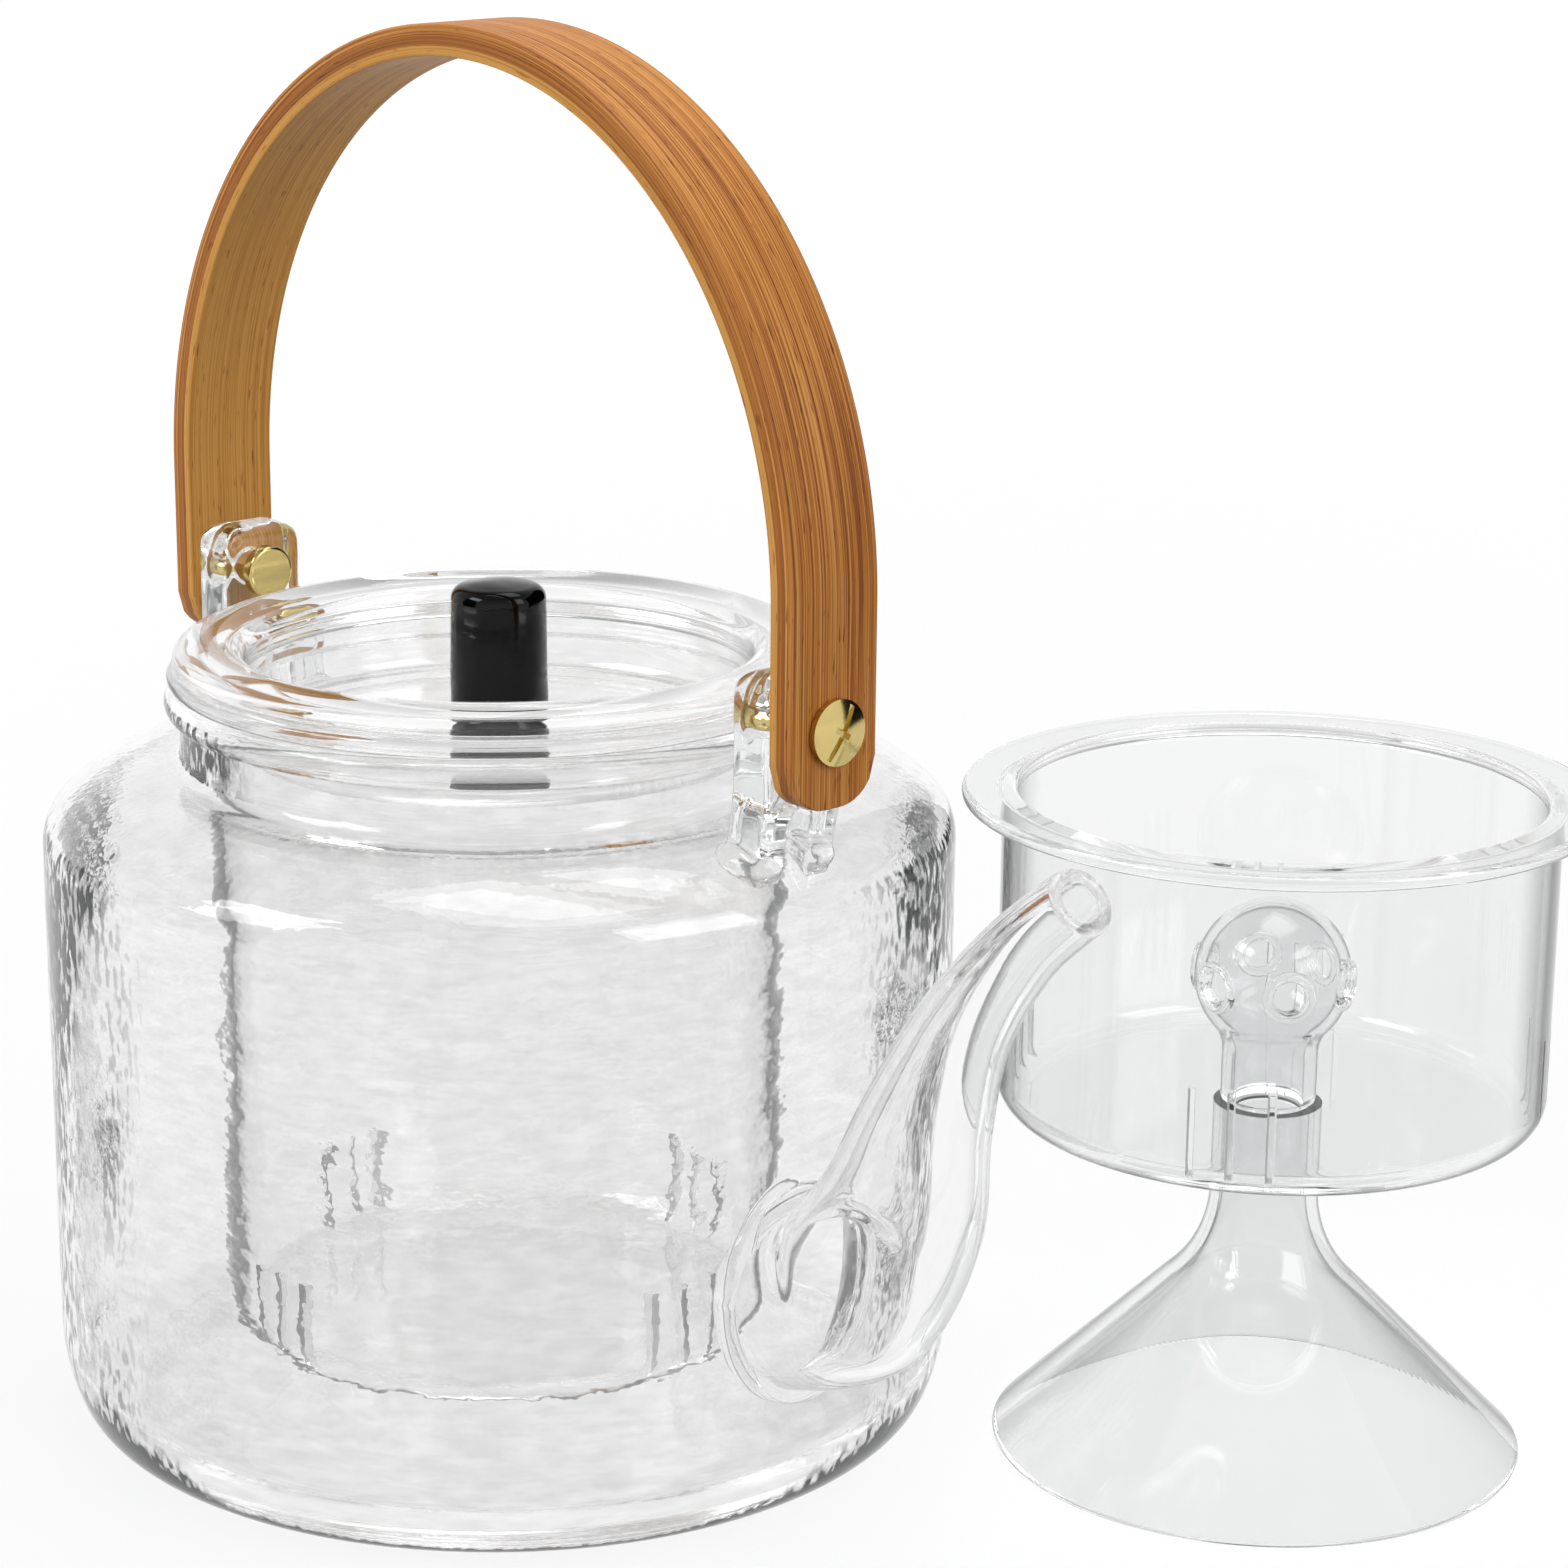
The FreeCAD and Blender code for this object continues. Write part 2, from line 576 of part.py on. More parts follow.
def make_lug(label, turn):
    """Pressed glass ear on two melted feet, with a hole for the handle's pivot."""
    body = new_body(label)
    side = new_sketch(body, "lug_outline", "XZ_Plane")
    outline = Outline(side, size.lug_foot_outer, size.lug_foot_depth)
    outline.line(size.lug_outer, size.lug_waist)
    outline.line(size.lug_outer, size.lug_top - size.lug_ease)
    outline.left(size.lug_outer - size.lug_ease, size.lug_top, size.lug_ease)
    outline.line(size.lug_inner + size.lug_ease, size.lug_top)
    outline.left(size.lug_inner, size.lug_top - size.lug_ease, size.lug_ease)
    outline.line(size.lug_inner, size.lug_waist)
    outline.line(size.lug_foot_inner, size.lug_foot_depth)
    outline.close()
    block = body.newObject("PartDesign::Pad", "lug_block")
    block.Profile = side
    block.SideType = "Symmetric"
    block.Length = size.lug_width.value
    block.setExpression("Length", size.lug_width.formula)
    doc.recompute()
    half = size.lug_width / 2
    cut_corners(body, "lug_corners", half, size.lug_top, size.lug_corner, True)

    def upright_edge(edge):
        return all(abs(abs(v.Y) - half.value) < 1e-6 for v in edge.Vertexes) and edge.Length > OVERCUT

    fillet(body, "lug_edges", size.lug_edge, upright_edge)
    for number, sign in enumerate((1, -1), start=1):
        pad = body.newObject("PartDesign::AdditiveEllipsoid", f"melted_foot_{number}")
        pad.Radius1 = size.pad_high.value
        pad.Radius2 = size.pad_long.value
        pad.Radius3 = size.pad_wide.value
        pad.setExpression("Radius1", size.pad_high.formula)
        pad.setExpression("Radius2", size.pad_long.formula)
        pad.setExpression("Radius3", size.pad_wide.formula)
        pad.Placement.Base = FreeCAD.Vector(size.pad_x.value, size.pad_y.value * sign, size.pad_z.value)
        pad.setExpression("Placement.Base.x", size.pad_x.formula)
        pad.setExpression("Placement.Base.y", (size.pad_y * sign).formula)
        pad.setExpression("Placement.Base.z", size.pad_z.formula)
        doc.recompute()
    trim_to_shoulder(body)
    notch = new_sketch(body, "notch_outline", "YZ_Plane")
    half_notch = size.notch_width / 2
    arch = Outline(notch, -half_notch, size.lug_foot_depth)
    arch.line(half_notch, size.lug_foot_depth)
    arch.line(half_notch, size.notch_top - half_notch)
    arch.left(0, size.notch_top, half_notch)
    arch.left(-half_notch, size.notch_top - half_notch, half_notch)
    arch.close()
    pocket(body, "notch", notch)
    hole = new_sketch(body, "pivot_hole_outline", "YZ_Plane")
    draw_circle(hole, 0, size.pivot_height, size.barrel_radius + size.running_gap)
    pocket(body, "pivot_hole", hole)
    place(body, turn=turn)
    return body


def pivot_sketch(body, name):
    """A sketch whose level axis is the handle's pivot."""
    sketch = new_sketch(body, name, "XZ_Plane")
    sketch.AttachmentOffset = FreeCAD.Placement(
        FreeCAD.Vector(0, size.pivot_height.value, 0), FreeCAD.Rotation()
    )
    sketch.setExpression("AttachmentOffset.Base.y", size.pivot_height.formula)
    return sketch


def make_barrel(label, turn):
    """Brass barrel nut: plain cap against the lug, sleeve through lug and handle."""
    body = new_body(label)
    sketch = pivot_sketch(body, "barrel_outline")
    outline = Outline(sketch, size.cap_face, 0)
    outline.line(size.cap_face, size.cap_radius - size.cap_ease)
    outline.right(size.cap_face + size.cap_ease, size.cap_radius, size.cap_ease)
    outline.line(size.lug_inner, size.cap_radius)
    outline.line(size.lug_inner, size.barrel_radius)
    outline.line(size.barrel_end, size.barrel_radius)
    outline.line(size.barrel_end, size.thread_radius)
    outline.line(size.thread_start, size.thread_radius)
    outline.line(size.thread_start, 0)
    outline.close()
    revolve(body, "barrel_turned", sketch, "H_Axis")
    place(body, turn=turn)
    return body


def make_screw(label, turn):
    """Brass screw of the pivot: domed head with a long driver slot and a short cross slot."""
    body = new_body(label)
    sketch = pivot_sketch(body, "screw_outline")
    shank = size.thread_radius - size.running_gap
    rim = size.head_seat + size.head_edge
    dome = (size.head_radius * size.head_radius + size.head_dome * size.head_dome) / (size.head_dome * 2)
    outline = Outline(sketch, size.screw_tip, 0)
    outline.line(size.screw_tip, shank)
    outline.line(size.head_seat, shank)
    outline.line(size.head_seat, size.head_radius)
    outline.line(rim, size.head_radius)
    outline.right(rim + size.head_dome, 0, dome)
    outline.close()
    revolve(body, "screw_turned", sketch, "H_Axis")
    crown = rim + size.head_dome - size.slot_depth
    for name, width, length in (
        ("driver_slot", size.slot_width, size.slot_length),
        ("cross_slot", size.cross_length, size.slot_width),
    ):
        slot = new_sketch(body, f"{name}_outline", "YZ_Plane")
        slot.AttachmentOffset = FreeCAD.Placement(
            FreeCAD.Vector(0, size.pivot_height.value, crown.value),
            FreeCAD.Rotation(FreeCAD.Vector(0, 0, 1), size.slot_lean.value),
        )
        slot.setExpression("AttachmentOffset.Base.y", size.pivot_height.formula)
        slot.setExpression("AttachmentOffset.Base.z", crown.formula)
        slot_outline = Outline(slot, -width / 2, -length / 2)
        slot_outline.line(width / 2, -length / 2)
        slot_outline.line(width / 2, length / 2)
        slot_outline.line(-width / 2, length / 2)
        slot_outline.close()
        pocket(body, name, slot, size.slot_depth * 2)
    place(body, turn=turn)
    return body


def make_ply(label, layer):
    """One layer of the bent bamboo strip, counted from the outside: two legs and a half-round arch."""
    body = new_body(label)
    outer = size.arch_radius - (size.ply_thick + size.glue_line) * layer
    inner = outer - size.ply_thick
    foot = size.pivot_height - size.leg_drop
    sketch = new_sketch(body, "arch_outline", "XZ_Plane")
    outline = Outline(sketch, outer, foot)
    outline.line(outer, size.arch_centre)
    outline.left(0, size.arch_centre + outer, outer)
    outline.left(-outer, size.arch_centre, outer)
    outline.line(-outer, foot)
    outline.line(-inner, foot)
    outline.line(-inner, size.arch_centre)
    outline.right(0, size.arch_centre + inner, inner)
    outline.right(inner, size.arch_centre, inner)
    outline.line(inner, foot)
    outline.close()
    strip = body.newObject("PartDesign::Pad", "strip")
    strip.Profile = sketch
    strip.SideType = "Symmetric"
    strip.Length = size.strap_width.value
    strip.setExpression("Length", size.strap_width.formula)
    doc.recompute()
    cut_corners(body, "strip_ends", size.strap_width / 2, foot, size.end_corner, False)
    hole = new_sketch(body, "pivot_hole_outline", "YZ_Plane")
    draw_circle(hole, 0, size.pivot_height, size.barrel_radius + size.running_gap)
    pocket(body, "pivot_hole", hole)
    return body, outer, inner


def round_strip_edges(body, radius):
    """Round the long edges of the strip on the face of the given radius."""
    centre = size.arch_centre.value
    hole = size.barrel_radius.value + size.running_gap.value

    def off_face(point):
        rise = max(point.z - centre, 0.0)
        return abs(math.hypot(point.x, rise) - radius.value)

    def long_edge(edge):
        middle = edge.valueAt((edge.FirstParameter + edge.LastParameter) / 2)
        around_hole = math.hypot(middle.y, middle.z - size.pivot_height.value) < hole + 1.0
        ends = [vertex.Point for vertex in edge.Vertexes]
        return not around_hole and all(off_face(point) < 1e-4 for point in ends + [middle])

    fillet(body, "long_edges", size.strap_edge, long_edge)


def make_lid():
    """Pressed glass lid: flat flange with a round edge and a dish that hangs in the infuser."""
    body = new_body("lid_dish")
    sketch = new_sketch(body, "lid_outline", "XZ_Plane")
    top = size.lid_under + size.lid_thick
    half = size.lid_thick / 2
    inner = size.dish_radius - size.dish_wall
    floor = size.dish_bottom + size.dish_wall
    bend = size.dish_corner - size.dish_wall
    outline = Outline(sketch, 0, size.dish_bottom)
    outline.line(size.dish_radius - size.dish_corner, size.dish_bottom)
    outline.left(size.dish_radius, size.dish_bottom + size.dish_corner, size.dish_corner)
    outline.line(size.dish_radius, size.lid_under)
    outline.line(size.lid_radius - half, size.lid_under)
    outline.left(size.lid_radius, size.lid_under + half, half)
    outline.left(size.lid_radius - half, top, half)
    outline.line(inner + size.dish_ease, top)
    outline.left(inner, top - size.dish_ease, size.dish_ease)
    outline.line(inner, floor + bend)
    outline.right(inner - bend, floor, bend)
    outline.line(0, floor)
    outline.close()
    revolve(body, "lid_turned", sketch)
    return body


def make_knob():
    """Solid black glass knob, a little crowned, fused to the middle of the lid."""
    body = new_body("lid_knob")
    sketch = new_sketch(body, "knob_outline", "XZ_Plane")
    foot = size.dish_bottom + size.dish_wall
    rim = size.knob_radius - size.knob_ease
    crown = (rim * rim + size.knob_dome * size.knob_dome) / (size.knob_dome * 2)
    outline = Outline(sketch, 0, foot)
    outline.line(size.knob_radius - size.knob_foot, foot)
    outline.left(size.knob_radius, foot + size.knob_foot, size.knob_foot)
    outline.line(size.knob_radius, size.knob_top - size.knob_ease)
    outline.left(rim, size.knob_top, size.knob_ease)
    outline.left(0, size.knob_top + size.knob_dome, crown)
    outline.close()
    revolve(body, "knob_turned", sketch)
    return body


def cut_slits(body, radius, underside):
    """Groups of upright straining slits low in an infuser's wall, evenly round it."""
    sketch = new_sketch(body, "slit_outline", "YZ_Plane")
    start = radius / 2
    sketch.AttachmentOffset = FreeCAD.Placement(FreeCAD.Vector(0, 0, start.value), FreeCAD.Rotation())
    sketch.setExpression("AttachmentOffset.Base.z", start.formula)
    low = underside + size.slit_rise
    high = low + size.slit_height
    for number in range(SLITS_PER_GROUP):
        middle = size.slit_pitch * (number - (SLITS_PER_GROUP - 1) / 2)
        left = middle - size.slit_width / 2
        right = middle + size.slit_width / 2
        Outline(sketch, left, low).line(right, low).line(right, high).line(left, high).close()
    group = pocket(body, "slit_group", sketch, radius - start + OVERCUT)
    polar_pattern(body, "slit_groups", group, SLIT_GROUPS)


def cup_outline(sketch, shape):
    """Turned outline of a flanged glass cup, with a hole in its floor where it has one."""
    top = shape.under + shape.flange_thick
    half = shape.flange_thick / 2
    inner = shape.radius - shape.wall
    floor = shape.bottom + shape.wall
    bend = shape.corner - shape.wall
    outline = Outline(sketch, shape.hole, shape.bottom)
    outline.line(shape.radius - shape.corner, shape.bottom)
    outline.left(shape.radius, shape.bottom + shape.corner, shape.corner)
    outline.line(shape.radius, shape.under)
    outline.line(shape.flange - half, shape.under)
    outline.left(shape.flange, shape.under + half, half)
    outline.left(shape.flange - half, top, half)
    outline.line(inner + half, top)
    outline.left(inner, top - half, half)
    outline.line(inner, floor + bend)
    outline.right(inner - bend, floor, bend)
    outline.line(shape.hole, floor)
    outline.close()


def make_tea_infuser():
    """Deep glass infuser that hangs in the pot's mouth by its flange."""
    body = new_body("tea_infuser")
    sketch = new_sketch(body, "infuser_outline", "XZ_Plane")
    shape = types.SimpleNamespace(
        radius=size.cup_radius,
        wall=size.cup_wall,
        bottom=size.cup_bottom,
        corner=size.cup_corner,
        under=size.cup_under,
        flange=size.cup_flange,
        flange_thick=size.cup_flange_thick,
        hole=0,
    )
    cup_outline(sketch, shape)
    revolve(body, "infuser_turned", sketch)
    cut_slits(body, size.cup_radius, size.cup_bottom)
    return body


def make_steam_cup():
    """Shallow glass cup of the steam infuser, open in the middle of its floor."""
    body = new_body("steam_cup")
    sketch = new_sketch(body, "steam_cup_outline", "XZ_Plane")
    shape = types.SimpleNamespace(
        radius=size.steam_radius,
        wall=size.steam_wall,
        bottom=size.steam_floor,
        corner=size.steam_corner,
        under=size.steam_under,
        flange=size.steam_flange,
        flange_thick=size.steam_flange_thick,
        hole=size.tube_bore,
    )
    cup_outline(sketch, shape)
    revolve(body, "steam_cup_turned", sketch)
    cut_slits(body, size.steam_radius, size.steam_floor)
    place(body, size.steam_x, size.steam_y, size.steam_turn)
    return body


def bulb_neck(bulb, tube, bend):
    """The corners of a hollow between tube and bulb: its height on the tube, and its start on the bulb."""
    reach = tube + bend
    drop = root((bulb + bend) * (bulb + bend) - reach * reach)
    share = bulb / (bulb + bend)
    return size.bulb_height - drop, (reach * share, size.bulb_height - drop * share)


def make_steam_tube():
    """Riser tube on the cup's floor, blown to a closed bulb with steam holes round its middle."""
    body = new_body("steam_tube")
    sketch = new_sketch(body, "tube_outline", "XZ_Plane")
    foot = size.steam_floor + size.steam_wall
    hollow = size.bulb_radius - size.bulb_wall
    inner_bend = size.bulb_hollow + size.tube_radius - size.tube_bore
    outer_end, outer_start = bulb_neck(size.bulb_radius, size.tube_radius, size.bulb_hollow)
    inner_end, inner_start = bulb_neck(hollow, size.tube_bore, inner_bend)
    outline = Outline(sketch, size.tube_bore, foot)
    outline.line(size.tube_radius, foot)
    outline.line(size.tube_radius, outer_end)
    outline.right(*outer_start, size.bulb_hollow)
    outline.left(size.bulb_radius, size.bulb_height, size.bulb_radius)
    outline.left(0, size.bulb_height + size.bulb_radius, size.bulb_radius)
    outline.line(0, size.bulb_height + hollow)
    outline.right(hollow, size.bulb_height, hollow)
    outline.right(*inner_start, hollow)
    outline.left(size.tube_bore, inner_end, inner_bend)
    outline.close()
    revolve(body, "tube_turned", sketch)
    hole = new_sketch(body, "steam_hole_outline", "YZ_Plane")
    draw_circle(hole, 0, size.bulb_height, size.steam_hole)
    first = pocket(body, "steam_hole", hole, size.bulb_radius + OVERCUT)
    polar_pattern(body, "steam_holes", first, STEAM_HOLES)
    place(body, size.steam_x, size.steam_y, size.steam_turn + size.steam_hole_turn)
    return body


def make_steam_funnel():
    """Funnel under the steam cup: straight neck, hollow flare and a cone that opens at 45 degrees."""
    body = new_body("steam_funnel")
    sketch = new_sketch(body, "funnel_outline", "XZ_Plane")
    slope = math.sqrt(0.5)
    bore = size.funnel_neck - size.funnel_wall
    inner_bend = size.funnel_bend + size.funnel_wall
    flare_x = size.funnel_neck + size.funnel_bend * (1 - slope)
    flare_z = size.funnel_neck_end - size.funnel_bend * slope
    inner_x = bore + inner_bend * (1 - slope)
    inner_z = size.funnel_neck_end - inner_bend * slope
    rim_x = flare_x + flare_z - size.funnel_rim
    outline = Outline(sketch, bore, size.steam_floor)
    outline.line(bore, size.funnel_neck_end)
    outline.left(inner_x, inner_z, inner_bend)
    outline.line(inner_x + inner_z, 0)
    outline.line(rim_x - size.funnel_rim, 0)
    outline.left(rim_x, size.funnel_rim, size.funnel_rim)
    outline.line(flare_x, flare_z)
    outline.right(size.funnel_neck, size.funnel_neck_end, size.funnel_bend)
    outline.line(size.funnel_neck, size.steam_floor)
    outline.close()
    revolve(body, "funnel_turned", sketch)
    place(body, size.steam_x, size.steam_y, size.steam_turn)
    return body


def make_handle():
    """Three layers of bamboo, with the long edges of the outer and inner faces rounded."""
    outer_ply, outer_face, _ = make_ply("handle_outer_ply", 0)
    round_strip_edges(outer_ply, outer_face)
    core_ply, _, _ = make_ply("handle_core_ply", 1)
    inner_ply, _, inner_face = make_ply("handle_inner_ply", 2)
    round_strip_edges(inner_ply, inner_face)
    return [outer_ply, core_ply, inner_ply]


def make_pivots():
    """Lug, barrel nut and screw at the spout's side, and the same three opposite."""
    made = []
    for side, turn in (("front", 0.0), ("rear", HALF_TURN)):
        made.append(make_lug(f"{side}_lug", turn))
        made.append(make_barrel(f"{side}_barrel", turn))
        made.append(make_screw(f"{side}_screw", turn))
    return made


pieces = [make_pot_body(), make_spout()]
pieces += make_pivots()
pieces += make_handle()
pieces += [make_lid(), make_knob(), make_tea_infuser()]
pieces += [make_steam_cup(), make_steam_tube(), make_steam_funnel()]
doc.recompute()

for item in doc.Objects:
    if "Invalid" in item.State or "Error" in item.State:
        raise RuntimeError(f"{item.Label} failed: {item.State}")
for piece in pieces:
    if piece.Shape.isNull() or not piece.Shape.isValid() or len(piece.Shape.Solids) != 1:
        raise RuntimeError(f"{piece.Label} is not one sound solid")

os.makedirs("parts", exist_ok=True)
for piece in pieces:
    piece.Shape.exportStep(f"parts/{piece.Label}.step")
    print(f"{piece.Label}: {piece.Shape.Volume / 1000:.2f} cm3")
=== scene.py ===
import math
from types import SimpleNamespace

import bmesh
import bpy
from mathutils import Matrix, Vector, noise


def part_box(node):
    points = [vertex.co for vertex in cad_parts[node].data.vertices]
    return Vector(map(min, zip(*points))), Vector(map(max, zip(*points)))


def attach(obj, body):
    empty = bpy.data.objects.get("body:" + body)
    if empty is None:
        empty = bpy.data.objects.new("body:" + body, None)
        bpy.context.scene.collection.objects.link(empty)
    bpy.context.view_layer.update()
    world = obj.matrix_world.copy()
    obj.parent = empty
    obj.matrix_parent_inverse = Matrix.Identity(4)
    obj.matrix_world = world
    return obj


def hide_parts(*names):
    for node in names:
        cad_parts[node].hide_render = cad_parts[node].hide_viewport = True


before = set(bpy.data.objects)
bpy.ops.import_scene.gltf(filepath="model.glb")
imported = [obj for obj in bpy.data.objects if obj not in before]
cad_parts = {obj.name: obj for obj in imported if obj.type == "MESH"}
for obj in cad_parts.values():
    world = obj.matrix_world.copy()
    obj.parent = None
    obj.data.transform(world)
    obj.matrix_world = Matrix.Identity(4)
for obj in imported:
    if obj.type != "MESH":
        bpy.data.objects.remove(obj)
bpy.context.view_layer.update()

MM = 0.001
FULL_TURN = 2 * math.pi

# Where the pot was photographed from. The camera looks at the pot's axis from the spout's side.
VIEW_AZIMUTH = math.radians(51.764)
VIEW_PITCH = math.radians(16.237)
VIEW_DISTANCE = 616.3 * MM
VIEW_HEIGHT = 268.2 * MM
SENSOR = 36.0
FOCAL_PIXELS = 4153.0
IMAGE_PIXELS = 1568.0
AXIS_PIXEL_X = 495.0
LEVEL_PIXEL_Y = 849.6
SIDE_SHIFT = 0.09

# Sizes of the blown and pressed glass, as in the solids, in millimetres.
POT_RADIUS = 70.0
POT_WALL = 3.0
SPOUT_WALL = 2.0
PIVOT_HEIGHT = 122.6


def linear(hex_colour):
    """An sRGB hex colour as linear red, green, blue and alpha."""
    channels = [int(hex_colour[place : place + 2], 16) / 255 for place in (1, 3, 5)]
    opened = [c / 12.92 if c <= 0.04045 else ((c + 0.055) / 1.055) ** 2.4 for c in channels]
    return (*opened, 1.0)


def add_node(tree, kind, values=None, links=None, stops=(), **settings):
    """A shader node with its settings, socket values, incoming links and, on a ramp, its colour stops."""
    made = tree.nodes.new(kind)
    for name, value in settings.items():
        setattr(made, name, value)
    for socket, value in (values or {}).items():
        made.inputs[socket].default_value = value
    for socket, source in (links or {}).items():
        tree.links.new(source, made.inputs[socket])
    for number, (position, colour) in enumerate(stops):
        elements = made.color_ramp.elements
        stop = elements[number] if number < 2 else elements.new(position)
        stop.position = position
        stop.color = linear(colour)
    return made


def new_material(name):
    """An empty material and its node tree."""
    material = bpy.data.materials.new(name)
    material.use_nodes = True
    material.node_tree.nodes.clear()
    return material, material.node_tree


def finish_material(tree, surface):
    """Show a shader as the material's surface."""
    add_node(tree, "ShaderNodeOutputMaterial", links={"Surface": surface.outputs[0]})


# Borosilicate glass is clear face on. Where an upright wall is seen along its edge, its colour is painted
# grey, a painted shade that stands for the darker sides of the room, while faces that look up are left
# clear, as if they gathered the pale room.
GLASS_IOR = 1.47
UPRIGHT_BLUR = 0.3
WALL_TIP = 0.5


def glass_surface(name, face, edge, band, steepest=0.7, roughness=0.0, relief=None):
    """A borosilicate glass: its tone face on and its painted edge shade edge on, the band of leans over
    which one turns into the other, how far a face may tip back and still take the painted edge shade, its
    roughness and its relief."""
    material, tree = new_material(name)
    ripples = relief(tree) if relief else None
    bent = {"Normal": ripples.normal} if relief else {}
    tipped = {"Normal": ripples.tipped} if relief else {}
    lean = add_node(tree, "ShaderNodeLayerWeight", {"Blend": 0.5}, tipped)
    surface = add_node(tree, "ShaderNodeNewGeometry")
    split = add_node(tree, "ShaderNodeSeparateXYZ", links={0: surface.outputs["Normal"]})
    upright = add_node(
        tree,
        "ShaderNodeMapRange",
        {"From Min": steepest - UPRIGHT_BLUR, "From Max": steepest, "To Min": 1.0, "To Max": 0.0},
        {"Value": split.outputs["Z"]},
    )
    outside = add_node(
        tree,
        "ShaderNodeMath",
        links={0: upright.outputs[0], 1: surface.outputs["Backfacing"]},
        operation="SUBTRACT",
        use_clamp=True,
    )
    # Painted shade: the base colour turns from the face tone to the grey edge tone where an upright outer
    # face is seen edge on.
    painted_edge_shade = add_node(
        tree,
        "ShaderNodeMath",
        links={0: lean.outputs["Facing"], 1: outside.outputs[0]},
        operation="MULTIPLY",
    )
    if relief:
        painted_edge_shade = add_node(
            tree,
            "ShaderNodeMath",
            links={0: painted_edge_shade.outputs[0], 1: ripples.streaks},
            operation="MULTIPLY",
        )
    tone = add_node(
        tree,
        "ShaderNodeValToRGB",
        links={"Fac": painted_edge_shade.outputs[0]},
        stops=((band[0], face), (band[1], edge)),
    ).outputs["Color"]
    if relief:
        tone = add_node(
            tree,
            "ShaderNodeMix",
            {"Factor": 1.0},
            {"A": tone, "B": ripples.mottle},
            data_type="RGBA",
            blend_type="MULTIPLY",
        ).outputs["Result"]
    # Painted reflection shade: the same painted edge shade tints the reflections of front faces; back faces
    # reflect untinted.
    mirrored = add_node(
        tree,
        "ShaderNodeMix",
        {"B": linear("#ffffff")},
        {"Factor": surface.outputs["Backfacing"], "A": tone},
        data_type="RGBA",
    ).outputs["Result"]
    shader = add_node(
        tree,
        "ShaderNodeBsdfPrincipled",
        {"Roughness": roughness, "IOR": GLASS_IOR, "Transmission Weight": 1.0},
        {"Base Color": tone, "Specular Tint": mirrored, **bent},
    )
    finish_material(tree, shader)
    return material


def drawn_borosilicate():
    """Drawn borosilicate of the spout and lid, and of cut holes: fire polished, so smooth and clear, with a
    light painted grey shade edge on.
    """
    return glass_surface("drawn_borosilicate_glass", "#fcfcfc", "#8a8b8c", (0.60, 0.95))


def blown_borosilicate():
    """Thin blown borosilicate of the tea infuser: clear, with a narrow painted grey shade line along its
    sides, where it is seen edge on.
    """
    return glass_surface("blown_borosilicate_glass", "#fafafa", "#1c1d1e", (0.65, 0.73))


def pressed_borosilicate():
    """Pressed borosilicate of the steam cup: a touch greyer than the pot, with a soft painted dark shade
    band edge on.
    """
    return glass_surface("pressed_borosilicate_glass", "#f1f2f2", "#2c2d2e", (0.53, 0.76))


def lampworked_borosilicate():
    """Borosilicate tube worked in the flame: clear, with thin painted dark shade outlines where it is
    rounded.
    """
    return glass_surface(
        "lampworked_borosilicate_glass", "#f2f3f3", "#2c2d2e", (0.68, 0.82), steepest=1.0
    )


def flared_borosilicate():
    """Borosilicate tube flared to the funnel: its cone is a shade greyer, with the same thin painted dark
    shade outlines.
    """
    return glass_surface(
        "flared_borosilicate_glass", "#eeefef", "#2c2d2e", (0.68, 0.82), steepest=1.0
    )


def ground_glass():
    """The sawn sides of the straining slits: matt glass that looks grey, with a darker painted shade edge
    on.
    """
    return glass_surface("ground_borosilicate_glass", "#c8c9c9", "#7c7d7d", (0.4, 0.8), roughness=0.35)


def melted_glass_seam():
    """Borosilicate melted onto borosilicate: the two have become one, so no surface is left to see."""
    material, tree = new_material("melted_borosilicate_seam")
    finish_material(tree, add_node(tree, "ShaderNodeBsdfPrincipled", {"Alpha": 0.0}))
    return material


def hammered_borosilicate():
    """Borosilicate blown into a hammered mould: small flat ripples that break up what is behind them, and a
    dark painted shade edge on.
    """
    return glass_surface(
        "hammered_borosilicate_glass", "#fcfcfc", "#161717", (0.48, 0.68), relief=hammered_ripples
    )


